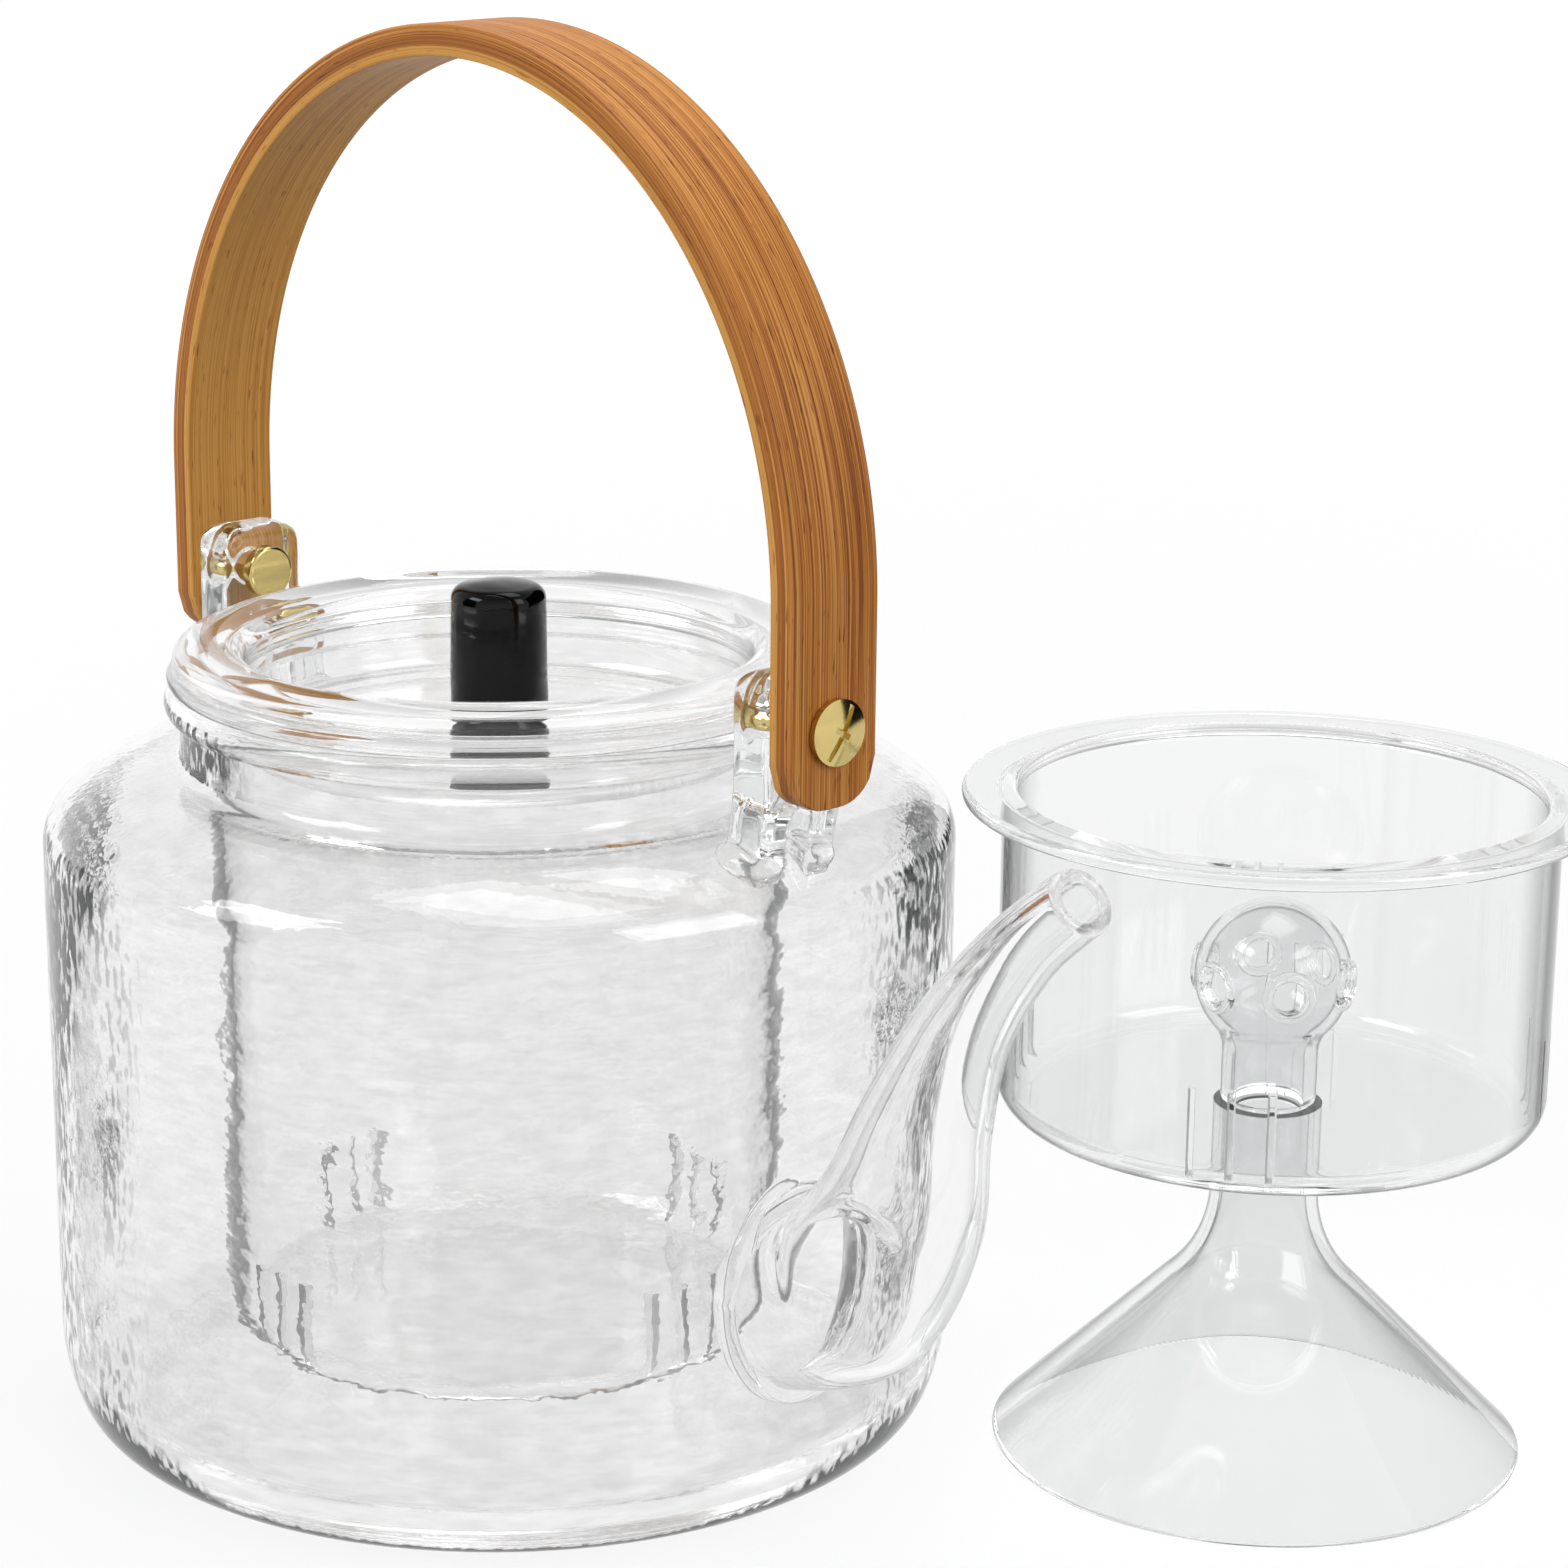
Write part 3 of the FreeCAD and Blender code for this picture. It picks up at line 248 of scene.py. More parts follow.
def hammered_ripples(tree):
    """Ripples of the hammered mould, finer than those in the mesh. Edge on they break the painted edge
    shade into painted dark and light streaky patches, face on they show as a faint mottle, partly thin and
    thick spots of the mould and partly painted ripple shade, and near the foot the painted edge shade is
    made stronger, a painted dark for its thick corner.
    The wall counts as tipped up a little for the painted edge shade, so that it stays clear from above."""
    place = add_node(tree, "ShaderNodeTexCoord")
    heights = {}
    for ripple, length, height, detail in (
        ("dents", 1.9 * MM, 1.3 * MM, 1.0),
        ("specks", 1.3 * MM, 3.0 * MM, 1.0),
        ("mottle", 6.0 * MM, 1.5 * MM, 1.0),
        ("patches", 20.0 * MM, 26.0 * MM, 0.0),
    ):
        stretched = add_node(
            tree,
            "ShaderNodeMapping",
            {"Scale": (1 / length, 1 / length, 1 / height)},
            {"Vector": place.outputs["Object"]},
        )
        heights[ripple] = add_node(
            tree,
            "ShaderNodeTexNoise",
            {"Scale": 1.0, "Detail": detail, "Roughness": 0.45},
            {"Vector": stretched.outputs[0]},
        )
    bump = add_node(
        tree,
        "ShaderNodeBump",
        {"Strength": 0.18, "Distance": 0.13 * MM},
        {"Height": heights["dents"].outputs["Fac"]},
    )
    # Painted shade: random streaky patches that make the painted edge shade darker in places and lighter in
    # others.
    streaks = add_node(
        tree,
        "ShaderNodeMapRange",
        {"From Min": 0.40, "From Max": 0.60, "To Min": 0.74, "To Max": 1.16},
        {"Value": heights["specks"].outputs["Fac"]},
    )
    patches = add_node(
        tree,
        "ShaderNodeMapRange",
        {"From Min": 0.38, "From Max": 0.62, "To Min": 0.85, "To Max": 1.25},
        {"Value": heights["patches"].outputs["Fac"]},
    )
    uneven = add_node(
        tree,
        "ShaderNodeMath",
        links={0: streaks.outputs[0], 1: patches.outputs[0]},
        operation="MULTIPLY",
    )
    height = add_node(tree, "ShaderNodeSeparateXYZ", links={0: place.outputs["Object"]})
    # Painted shade: from 11 mm down to 1 mm the painted edge shade grows stronger, a painted dark for the
    # foot's thick corner.
    foot = add_node(
        tree,
        "ShaderNodeMapRange",
        {"From Min": 1.0 * MM, "From Max": 11.0 * MM, "To Min": 1.5, "To Max": 0.0},
        {"Value": height.outputs["Z"]},
    )
    painted_shade_strength = add_node(
        tree,
        "ShaderNodeMath",
        links={0: uneven.outputs[0], 1: foot.outputs[0]},
        operation="ADD",
    )
    # The mottle darkens the glass's tone by a few percent at random: partly the mould's thin and thick
    # spots, partly painted ripple shade.
    mottle = add_node(
        tree,
        "ShaderNodeValToRGB",
        links={"Fac": heights["mottle"].outputs["Fac"]},
        stops=((0.35, "#ffffff"), (0.65, "#f3f3f3")),
    )
    # The painted edge shade reads a normal tipped upward, so that the wall stays clear from above.
    surface = add_node(tree, "ShaderNodeNewGeometry")
    raised = add_node(
        tree,
        "ShaderNodeVectorMath",
        {1: (0.0, 0.0, WALL_TIP)},
        {0: surface.outputs["Normal"]},
        operation="ADD",
    )
    tipped = add_node(
        tree, "ShaderNodeVectorMath", links={0: raised.outputs[0]}, operation="NORMALIZE"
    )
    return SimpleNamespace(
        normal=bump.outputs[0],
        streaks=painted_shade_strength.outputs[0],
        mottle=mottle.outputs[0],
        tipped=tipped.outputs[0],
    )


def black_glass():
    """Opaque black glass, fire polished: a deep gloss with sharp reflections."""
    material, tree = new_material("black_opaque_glass")
    shader = add_node(
        tree,
        "ShaderNodeBsdfPrincipled",
        {
            "Base Color": linear("#040405"),
            "Roughness": 0.08,
            "IOR": 1.52,
            "Specular IOR Level": 0.2,
        },
    )
    finish_material(tree, shader)
    return material


def polished_brass():
    """Turned and polished brass: warm yellow, with sharp reflections of the room and its dark cards."""
    material, tree = new_material("polished_brass")
    shader = add_node(
        tree,
        "ShaderNodeBsdfPrincipled",
        {"Base Color": linear("#d2bd7c"), "Metallic": 1.0, "Roughness": 0.13},
    )
    finish_material(tree, shader)
    return material


def bamboo(name, light, middle, dark, fleck):
    """Carbonised bamboo under satin lacquer: long fine fibres and short dark flecks along the strip."""
    material, tree = new_material(name)
    place = add_node(tree, "ShaderNodeTexCoord")
    strands = {}
    for strand, length, width, detail in (
        ("bands", 140.0 * MM, 2.6 * MM, 2.0),
        ("fibres", 70.0 * MM, 0.32 * MM, 2.5),
        ("flecks", 4.0 * MM, 0.45 * MM, 0.0),
    ):
        along = add_node(
            tree,
            "ShaderNodeMapping",
            {"Scale": (1 / length, 1 / width, 1.0)},
            {"Vector": place.outputs["UV"]},
        )
        strands[strand] = add_node(
            tree,
            "ShaderNodeTexNoise",
            {"Scale": 1.0, "Detail": detail, "Roughness": 0.55},
            {"Vector": along.outputs[0]},
        )
    woven = add_node(
        tree,
        "ShaderNodeMix",
        {"Factor": 0.72},
        {"A": strands["bands"].outputs["Fac"], "B": strands["fibres"].outputs["Fac"]},
    )
    tone = add_node(
        tree,
        "ShaderNodeValToRGB",
        links={"Fac": woven.outputs["Result"]},
        stops=((0.40, dark), (0.60, light), (0.49, middle)),
    )
    rare = add_node(
        tree,
        "ShaderNodeValToRGB",
        links={"Fac": strands["flecks"].outputs["Fac"]},
        stops=((0.72, "#ffffff"), (0.80, fleck)),
    )
    coloured = add_node(
        tree,
        "ShaderNodeMix",
        {"Factor": 1.0},
        {"A": tone.outputs["Color"], "B": rare.outputs["Color"]},
        data_type="RGBA",
        blend_type="MULTIPLY",
    )
    bump = add_node(
        tree,
        "ShaderNodeBump",
        {"Strength": 0.3, "Distance": 0.06 * MM},
        {"Height": strands["fibres"].outputs["Fac"]},
    )
    shader = add_node(
        tree,
        "ShaderNodeBsdfPrincipled",
        {"Roughness": 0.5, "Specular IOR Level": 0.3},
        {"Base Color": coloured.outputs["Result"], "Normal": bump.outputs[0]},
    )
    finish_material(tree, shader)
    return material


CLEAR = drawn_borosilicate()
BLOWN = blown_borosilicate()
HAMMERED = hammered_borosilicate()
PRESSED = pressed_borosilicate()
WORKED = lampworked_borosilicate()
FLARED = flared_borosilicate()
GROUND = ground_glass()
MELTED = melted_glass_seam()
BLACK = black_glass()
BRASS = polished_brass()
BAMBOO_OUTER = bamboo("carbonised_bamboo_outer", "#d6984f", "#b7722c", "#874410", "#b09478")
BAMBOO_CORE = bamboo("carbonised_bamboo_core", "#b8742e", "#a2601f", "#824412", "#b09478")
# Painted light: the inner ply's colours are raised above the bamboo's own colour to make up for the shade
# inside the arch.
BAMBOO_INNER_PAINTED_LIGHT = bamboo("carbonised_bamboo_inner_painted_light", "#dea657", "#d49848", "#bf8036", "#c4a88c")


class Profile:
    """Half of a turned piece's cross-section: distance from the axis and height, in millimetres."""

    def __init__(self, x, z):
        self.points = [Vector((x, 0, z))]

    def line(self, x, z, step=None):
        """A straight stretch, cut into steps where its surface gets a relief."""
        start = self.points[-1]
        finish = Vector((x, 0, z))
        count = max(1, round((finish - start).length / step)) if step else 1
        self.points += [start.lerp(finish, n / count) for n in range(1, count + 1)]
        return self

    def arc(self, x, z, radius, steps, left=True):
        """A round stretch that turns left or right on its way."""
        start = self.points[-1]
        finish = Vector((x, 0, z))
        chord = finish - start
        side = 1 if left else -1
        rise = math.sqrt(max(radius**2 - (chord.length / 2) ** 2, 0.0))
        across = Vector((-chord.z, 0, chord.x)).normalized() * side
        centre = (start + finish) / 2 + across * rise
        first = math.atan2(start.z - centre.z, start.x - centre.x)
        sweep = math.atan2(finish.z - centre.z, finish.x - centre.x) - first
        sweep = sweep % FULL_TURN if left else -((-sweep) % FULL_TURN)
        for n in range(1, steps + 1):
            angle = first + sweep * n / steps
            self.points.append(
                centre + Vector((math.cos(angle), 0, math.sin(angle))) * radius
            )
        return self


def mesh_object(name, bm, material):
    """A finished bmesh as a smooth object in the scene, at the origin."""
    mesh = bpy.data.meshes.new(name)
    bm.to_mesh(mesh)
    bm.free()
    mesh.polygons.foreach_set("use_smooth", [True] * len(mesh.polygons))
    mesh.materials.append(material)
    made = bpy.data.objects.new(name, mesh)
    bpy.context.scene.collection.objects.link(made)
    return made


def turned_bmesh(profile, steps):
    """A profile spun once round the upright axis into a closed shell, in metres."""
    bm = bmesh.new()
    verts = [bm.verts.new(point * MM) for point in profile.points]
    for here, there in zip(verts, verts[1:] + verts[:1]):
        bm.edges.new((here, there))
    bmesh.ops.spin(
        bm,
        geom=bm.verts[:] + bm.edges[:],
        cent=(0, 0, 0),
        axis=(0, 0, 1),
        angle=FULL_TURN,
        steps=steps,
        use_merge=True,
    )
    bmesh.ops.remove_doubles(bm, verts=bm.verts, dist=1e-6)
    bmesh.ops.recalc_face_normals(bm, faces=bm.faces)
    return bm


SHARP_ANGLE = math.radians(38)


def even_normals(piece):
    """Let flat faces keep their own direction beside rounded edges and cut ones."""
    piece.data.set_sharp_from_angle(angle=SHARP_ANGLE)
    modifier = piece.modifiers.new("even_normals", "WEIGHTED_NORMAL")
    modifier.keep_sharp = True


def settle(piece):
    """Make what a piece's modifiers give its own mesh."""
    graph = bpy.context.evaluated_depsgraph_get()
    settled = bpy.data.meshes.new_from_object(piece.evaluated_get(graph))
    piece.modifiers.clear()
    piece.data = settled


def cut(piece, cutter, operation="DIFFERENCE"):
    """Cut or join another shape into a piece, and remove that shape."""
    modifier = piece.modifiers.new("cut", "BOOLEAN")
    modifier.operation = operation
    modifier.object = cutter
    modifier.solver = "EXACT"
    modifier.material_mode = "TRANSFER"
    bpy.context.view_layer.update()
    settle(piece)
    bpy.data.objects.remove(cutter)


def melt_on(piece, melted):
    """Clear the faces that are melted onto other glass, where glass runs into glass."""
    piece.data.materials.append(MELTED)
    seam = len(piece.data.materials) - 1
    for face in piece.data.polygons:
        if melted(face.center / MM, face.normal):
            face.material_index = seam


def bridge_rings(bm, loops):
    """Join rings of edges into one closed surface."""
    for here, there in zip(loops, loops[1:] + loops[:1]):
        bmesh.ops.bridge_loops(bm, edges=here + there)
    bmesh.ops.recalc_face_normals(bm, faces=bm.faces)


def ring_edges(bm, segments, radius, matrix):
    """The edges of a new circle in a bmesh."""
    ring = bmesh.ops.create_circle(bm, segments=segments, radius=radius, matrix=matrix)
    return list({edge for vert in ring["verts"] for edge in vert.link_edges})


def melted_bead(name, points, thick, material):
    """A round bead of glass along a closed run of points, in millimetres."""
    bm = bmesh.new()
    loops = []
    for place, here in enumerate(points):
        ahead = points[(place + 1) % len(points)] - points[place - 1]
        turn = ahead.to_track_quat("Z", "Y").to_matrix().to_4x4()
        matrix = Matrix.Scale(MM, 4) @ Matrix.Translation(here) @ turn
        loops.append(ring_edges(bm, 14, thick, matrix))
    bridge_rings(bm, loops)
    return mesh_object(name, bm, material)


def clear_inside(piece):
    """Give the inside of a turned cup plain clear glass, so that only its outside takes the painted dark
    edge shade.
    """
    piece.data.materials.append(CLEAR)
    for face in piece.data.polygons:
        if face.normal.x * face.center.x + face.normal.y * face.center.y < 0:
            face.material_index = 1


def stand_for(piece, body, node):
    """The piece rides on a body and is shown in place of a solid."""
    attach(piece, body)
    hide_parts(node)


def clear_shadow(piece):
    """Clear glass throws next to no shadow."""
    piece.visible_shadow = False


def hammer(verts, depth, length, height, low, high, ease):
    """Press shallow ripples into the outside of a shell between two heights."""
    for vert in verts:
        rise = min(vert.co.z - low, high - vert.co.z) / ease
        if rise <= 0:
            continue
        spot = Vector((vert.co.x / length, vert.co.y / length, vert.co.z / height))
        relief = noise.noise(spot) + 0.5 * noise.noise(spot * 2.1)
        vert.co += vert.normal * depth * relief * min(rise, 1.0)


# The hole in the wall behind the spout and the bead of glass round it, in millimetres.
BEAD_STEPS = 96
SPOUT_HOLE_HEIGHT = 38.0
SPOUT_HOLE_HALF_WIDTH = 11.6
SPOUT_HOLE_HALF_HEIGHT = 16.5
SPOUT_HOLE_BEAD_OUT = 0.6
SPOUT_HOLE_BEAD = 1.7

# The shoulder's two arcs in the pot's outline: the reach and height of their middles, and their radii.
SHOULDER_SPLIT = 67.06
INNER_ARC = ((50.7, 78.42), 26.18)
OUTER_ARC = ((62.0, 92.5), 8.0)


def make_pot():
    """Blown pot: flat foot, hammered wall and shoulder, smooth neck and rolled lip."""
    steps = 440
    fine = 1.05
    plain = 12.0
    neck = 48.7
    crown = 50.7
    mouth = neck - POT_WALL
    hammered_from = 62.0
    hole_middle = 66.0
    hole_depth = 20.0
    profile = Profile(0, 0)
    profile.line(60.4, 0)
    profile.arc(67.81, 4.99, 8.0, 7)
    profile.arc(POT_RADIUS, 16.2, 29.82, 9)
    profile.line(POT_RADIUS, 92.5, fine)
    profile.arc(67.06, 98.70, 8.0, 8)
    profile.arc(crown, 104.6, 26.18, 16)
    profile.arc(neck, 106.6, 2.0, 6, left=False)
    profile.line(neck, 111.7)
    profile.arc(51.0, 114.0, 2.3, 6)
    profile.arc(neck, 116.3, 2.3, 6)
    profile.line(mouth + 1, 116.3)
    profile.arc(mouth, 115.3, 1.0, 4)
    profile.line(mouth, 106.6)
    profile.arc(crown, 101.6, 5.0, 8)
    profile.arc(65.16, 96.38, 23.18, 14, left=False)
    profile.arc(POT_RADIUS - POT_WALL, 92.5, 5.0, 7, left=False)
    profile.line(POT_RADIUS - POT_WALL, 14.0, plain)
    profile.arc(57.0, 4.0, 10.0, 10, left=False)
    profile.line(0, 4.0)
    bm = turned_bmesh(profile, steps)
    bm.normal_update()
    outside = [
        vert
        for vert in bm.verts
        if vert.co.xy.length > hammered_from * MM and vert.normal.z > -0.5
    ]
    hammer(
        outside,
        depth=0.06 * MM,
        length=5.2 * MM,
        height=2.7 * MM,
        low=3.0 * MM,
        high=104.0 * MM,
        ease=8.0 * MM,
    )
    pot = mesh_object("pot_glass", bm, HAMMERED)
    hole = bmesh.new()
    bmesh.ops.create_cone(
        hole,
        cap_ends=True,
        segments=64,
        radius1=1.0,
        radius2=1.0,
        depth=1.0,
        matrix=Matrix.Translation((hole_middle * MM, 0, SPOUT_HOLE_HEIGHT * MM))
        @ Matrix.Diagonal(
            (hole_depth * MM, SPOUT_HOLE_HALF_WIDTH * MM, SPOUT_HOLE_HALF_HEIGHT * MM, 1)
        )
        @ Matrix.Rotation(math.pi / 2, 4, "Y"),
    )
    cut(pot, mesh_object("spout_hole", hole, CLEAR))
    wall_middle = POT_RADIUS - POT_WALL / 2
    lip = []
    for n in range(BEAD_STEPS):
        angle = FULL_TURN * n / BEAD_STEPS
        across = (SPOUT_HOLE_HALF_WIDTH + SPOUT_HOLE_BEAD_OUT) * math.cos(angle)
        up = (SPOUT_HOLE_HALF_HEIGHT + SPOUT_HOLE_BEAD_OUT) * math.sin(angle)
        lip.append(Vector((math.sqrt(wall_middle**2 - across**2), across, SPOUT_HOLE_HEIGHT + up)))
    cut(pot, melted_bead("spout_hole_lip", lip, SPOUT_HOLE_BEAD, CLEAR), "UNION")
    even_normals(pot)
    stand_for(pot, "pot", "pot_body")
    clear_shadow(pot)


# The spout's centre line and thickness: distance from the axis, height, half width, half height across
# the tube, and climb in degrees, as in the solid.
SPOUT_STATIONS = (
    (58.0, 38.0, 13.6, 18.5, 0.0),
    (77.0, 39.6, 14.1, 14.1, 31.0),
    (83.6, 45.0, 13.8, 13.8, 48.0),
    (90.6, 57.0, 12.0, 12.0, 68.0),
    (95.0, 71.0, 9.4, 9.4, 71.0),
    (101.9, 86.2, 6.95, 6.95, 59.0),
    (112.2, 99.6, 5.5, 5.5, 46.0),
    (122.7, 108.8, 5.0, 5.0, 39.0),
)


def spline(values, t):
    """A smooth curve through evenly counted values, at a share t of its whole run."""
    spans = len(values) - 1
    place = min(int(t * spans), spans - 1)
    u = t * spans - place
    before = values[max(place - 1, 0)]
    here = values[place]
    there = values[place + 1]
    after = values[min(place + 2, spans)]
    leave = (there - before) / 2
    reach = (after - here) / 2
    return (
        here * (2 * u**3 - 3 * u**2 + 1)
        + leave * (u**3 - 2 * u**2 + u)
        + there * (3 * u**2 - 2 * u**3)
        + reach * (u**3 - u**2)
    )


def spout_section(t, inset, past=0.0):
    """Where a unit circle lies on the spout: an inset below its outside, past its end by a little."""
    x, z, wide, high, climb = (spline(values, t) for values in zip(*SPOUT_STATIONS))
    lean = math.radians(90 - climb)
    forward = Vector((math.sin(lean), 0, math.cos(lean)))
    return (
        Matrix.Translation(Vector((x, 0, z)) + forward * past)
        @ Matrix.Rotation(lean, 4, "Y")
        @ Matrix.Diagonal((high - inset, wide - inset, 1, 1))
    )


def root_line():
    """Points of the line along which the spout's outside meets the pot's wall."""
    points = []
    for n in range(BEAD_STEPS):
        angle = FULL_TURN * n / BEAD_STEPS
        rim = Vector((math.cos(angle), math.sin(angle), 0))
        low = 0.0
        high = 0.3
        for _ in range(24):
            middle = (low + high) / 2
            inside_wall = (spout_section(middle, 0.0) @ rim).xy.length < POT_RADIUS + 0.3
            low, high = (middle, high) if inside_wall else (low, middle)
        points.append(spout_section(low, 0.0) @ rim)
    return points


def make_spout():
    """Drawn spout: wide root melted onto the wall, long neck and a fire-polished pouring edge."""
    rings = 56
    lip_steps = 8
    half = SPOUT_WALL / 2
    wall = POT_RADIUS + 0.15
    metres = Matrix.Scale(MM, 4)
    bm = bmesh.new()
    sections = [spout_section(n / rings, 0.0) for n in range(rings + 1)]
    for n in range(1, lip_steps):
        angle = math.pi * n / lip_steps
        sections.append(spout_section(1.0, half - half * math.cos(angle), half * 0.8 * math.sin(angle)))
    sections += [spout_section(n / rings, SPOUT_WALL) for n in range(rings, -1, -1)]
    bridge_rings(bm, [ring_edges(bm, 64, 1.0, metres @ section) for section in sections])
    spout = mesh_object("spout_glass", bm, CLEAR)
    cut(spout, melted_bead("spout_collar", root_line(), 2.1, CLEAR), "UNION")
    core = bmesh.new()
    bmesh.ops.create_cone(
        core,
        cap_ends=True,
        segments=256,
        radius1=wall * MM,
        radius2=wall * MM,
        depth=300 * MM,
    )
    cut(spout, mesh_object("pot_core", core, CLEAR))
    melt_on(spout, lambda centre, normal: centre.xy.length < wall and normal.x < -0.5)
    even_normals(spout)
    stand_for(spout, "pot", "spout")
    clear_shadow(spout)


def on_shoulder(centre, normal):
    """Whether a face of a lug lies on the pot's shoulder: within a hair of its two arcs, facing them."""
    reach = centre.xy.length
    middle, radius = INNER_ARC if reach < SHOULDER_SPLIT else OUTER_ARC
    out = Vector((reach - middle[0], centre.z - middle[1]))
    facing = (centre.x * normal.x + centre.y * normal.y) / reach * out.x + normal.z * out.y
    return out.length < radius + 0.4 and facing < -0.5 * out.length


LUG_GRAIN = 0.35
LUG_SOFTENING = 18


def make_lug(side):
    """Pressed lug on melted feet, its edges softened in the flame."""
    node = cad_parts[f"{side}_lug"]
    bm = bmesh.new()
    bm.from_mesh(node.data)
    bmesh.ops.remove_doubles(bm, verts=bm.verts, dist=1e-6)
    lug = mesh_object(f"{side}_lug_glass", bm, WORKED)
    melt = lug.modifiers.new("melt", "REMESH")
    melt.mode = "VOXEL"
    melt.voxel_size = LUG_GRAIN * MM
    melt.use_smooth_shade = True
    soften = lug.modifiers.new("soften", "SMOOTH")
    soften.factor = 0.5
    soften.iterations = LUG_SOFTENING
    bpy.context.view_layer.update()
    settle(lug)
    melt_on(lug, on_shoulder)
    lug.data.polygons.foreach_set("use_smooth", [True] * len(lug.data.polygons))
    stand_for(lug, "pot", f"{side}_lug")
    clear_shadow(lug)


# Sizes of the straining slits and the tea infuser, in millimetres.
SLIT_WIDTH = 1.0
SLIT_HEIGHT = 13.5
SLIT_PITCH = 5.7
SLIT_RISE = 3.0
SLIT_GROUPS = 4
INFUSER_RADIUS = 43.5
INFUSER_BOTTOM = 14.0


def flanged_cup(radius, wall, bottom, corner, under, flange, thick, hole):
    """Profile of a cup with a full-round flange, and a hole in its floor where it has one."""
    half = thick / 2
    inner = radius - wall
    floor = bottom + wall
    bend = corner - wall
    above_slits = bottom + SLIT_RISE + SLIT_HEIGHT + 1.0
    profile = Profile(hole, bottom)
    profile.line(radius - corner, bottom)
    profile.arc(radius, bottom + corner, corner, 8)
    profile.line(radius, above_slits)
    profile.line(radius, under - 1.0)
    profile.arc(radius + 1.0, under, 1.0, 5, left=False)
    profile.line(flange - half, under)
    profile.arc(flange, under + half, half, 5)
    profile.arc(flange - half, under + thick, half, 5)
    profile.line(inner + half, under + thick)
    profile.arc(inner, under + half, half, 6)
    profile.line(inner, above_slits)
    profile.line(inner, floor + bend)
    profile.arc(inner - bend, floor, bend, 7, left=False)
    profile.line(hole, floor)
    return profile


def slit_blades(radius, bottom):
    """Saw blades that cut four groups of three slits low in a cup's wall."""
    bm = bmesh.new()
    depth = radius / 2
    for group in range(SLIT_GROUPS):
        turn = Matrix.Rotation(group * FULL_TURN / SLIT_GROUPS, 4, "Z")
        for number in (-1, 0, 1):
            centre = Vector((radius, number * SLIT_PITCH, bottom + SLIT_RISE + SLIT_HEIGHT / 2))
            bmesh.ops.create_cube(
                bm,
                size=MM,
                matrix=turn
                @ Matrix.Translation(centre * MM)
                @ Matrix.Diagonal((depth, SLIT_WIDTH, SLIT_HEIGHT, 1)),
            )
    return mesh_object("slit_blades", bm, GROUND)


def make_tea_infuser():
    """Deep infuser in the pot: thin wall, straining slits near its floor."""
    profile = flanged_cup(
        radius=INFUSER_RADIUS,
        wall=2.2,
        bottom=INFUSER_BOTTOM,
        corner=6.0,
        under=116.5,
        flange=50.5,
        thick=2.7,
        hole=0.0,
    )
    infuser = mesh_object("tea_infuser_glass", turned_bmesh(profile, 192), BLOWN)
    clear_inside(infuser)
    cut(infuser, slit_blades(INFUSER_RADIUS, INFUSER_BOTTOM))
    even_normals(infuser)
    stand_for(infuser, "infuser", "tea_infuser")
    clear_shadow(infuser)


# The knob was pulled by hand, so its side waves a little.
KNOB_WAVE = 0.12
KNOB_WAVE_LENGTH = 5.0


def make_lid():
    """Pressed lid with a full-round edge and a flat dish, and its black knob."""
    profile = Profile(0, 106.2)
    profile.line(35.8, 106.2)
    profile.arc(40.8, 111.2, 5.0, 8)
    profile.line(40.8, 118.4)
    profile.arc(41.8, 119.4, 1.0, 5, left=False)
    profile.line(48.1, 119.4)
    profile.arc(49.5, 120.8, 1.4, 6)
    profile.arc(48.1, 122.2, 1.4, 6)
    profile.arc(41.1, 122.2, 5.5, 10)
    profile.arc(38.6, 119.7, 2.5, 8)
    profile.line(38.6, 111.2)
    profile.arc(35.8, 108.4, 2.8, 7, left=False)
    profile.line(0, 108.4)
    lid = mesh_object("lid_glass", turned_bmesh(profile, 192), CLEAR)
    even_normals(lid)
    stand_for(lid, "lid", "lid_dish")
    clear_shadow(lid)
    profile = Profile(0, 108.45)
    profile.line(6.7, 108.45)
    profile.arc(7.5, 109.25, 0.8, 4)
    profile.line(7.3, 128.6, 1.5)
    profile.arc(5.3, 130.8, 2.15, 8)
    profile.arc(0, 131.4, 23.7, 6)
    bm = turned_bmesh(profile, 64)
    bm.normal_update()
    for vert in bm.verts:
        wave = noise.noise(vert.co / (KNOB_WAVE_LENGTH * MM))
        vert.co += vert.normal * KNOB_WAVE * MM * wave
    knob = mesh_object("knob_glass", bm, BLACK)
    stand_for(knob, "lid", "lid_knob")


# Sizes of the steam infuser, in millimetres and degrees.
STEAM_RADIUS = 41.3
STEAM_FLANGE = 47.4
STEAM_BOTTOM = 54.0
STEAM_FLOOR = 2.3
TUBE_RADIUS = 7.2
TUBE_BORE = 5.3
BULB_RADIUS = 11.8
BULB_WALL = 1.5
BULB_HEIGHT = 75.6
STEAM_TURN = -56.5
STEAM_HOLE_TURN = 20.0
STEAM_HOLES = 6
NECK_HOLLOW = 6.0
HOLE_RADIUS = 2.45
HOLE_REACH = 11.2
LIP_RADIUS = 0.8


def stand_beside(piece):
    """Move a piece that was made on the pot's axis to where the steam infuser stands."""
    low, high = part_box("steam_cup")
    middle = (low + high) / 2
    piece.data.transform(
        Matrix.Translation((middle.x, middle.y, 0)) @ Matrix.Rotation(math.radians(STEAM_TURN), 4, "Z")
    )


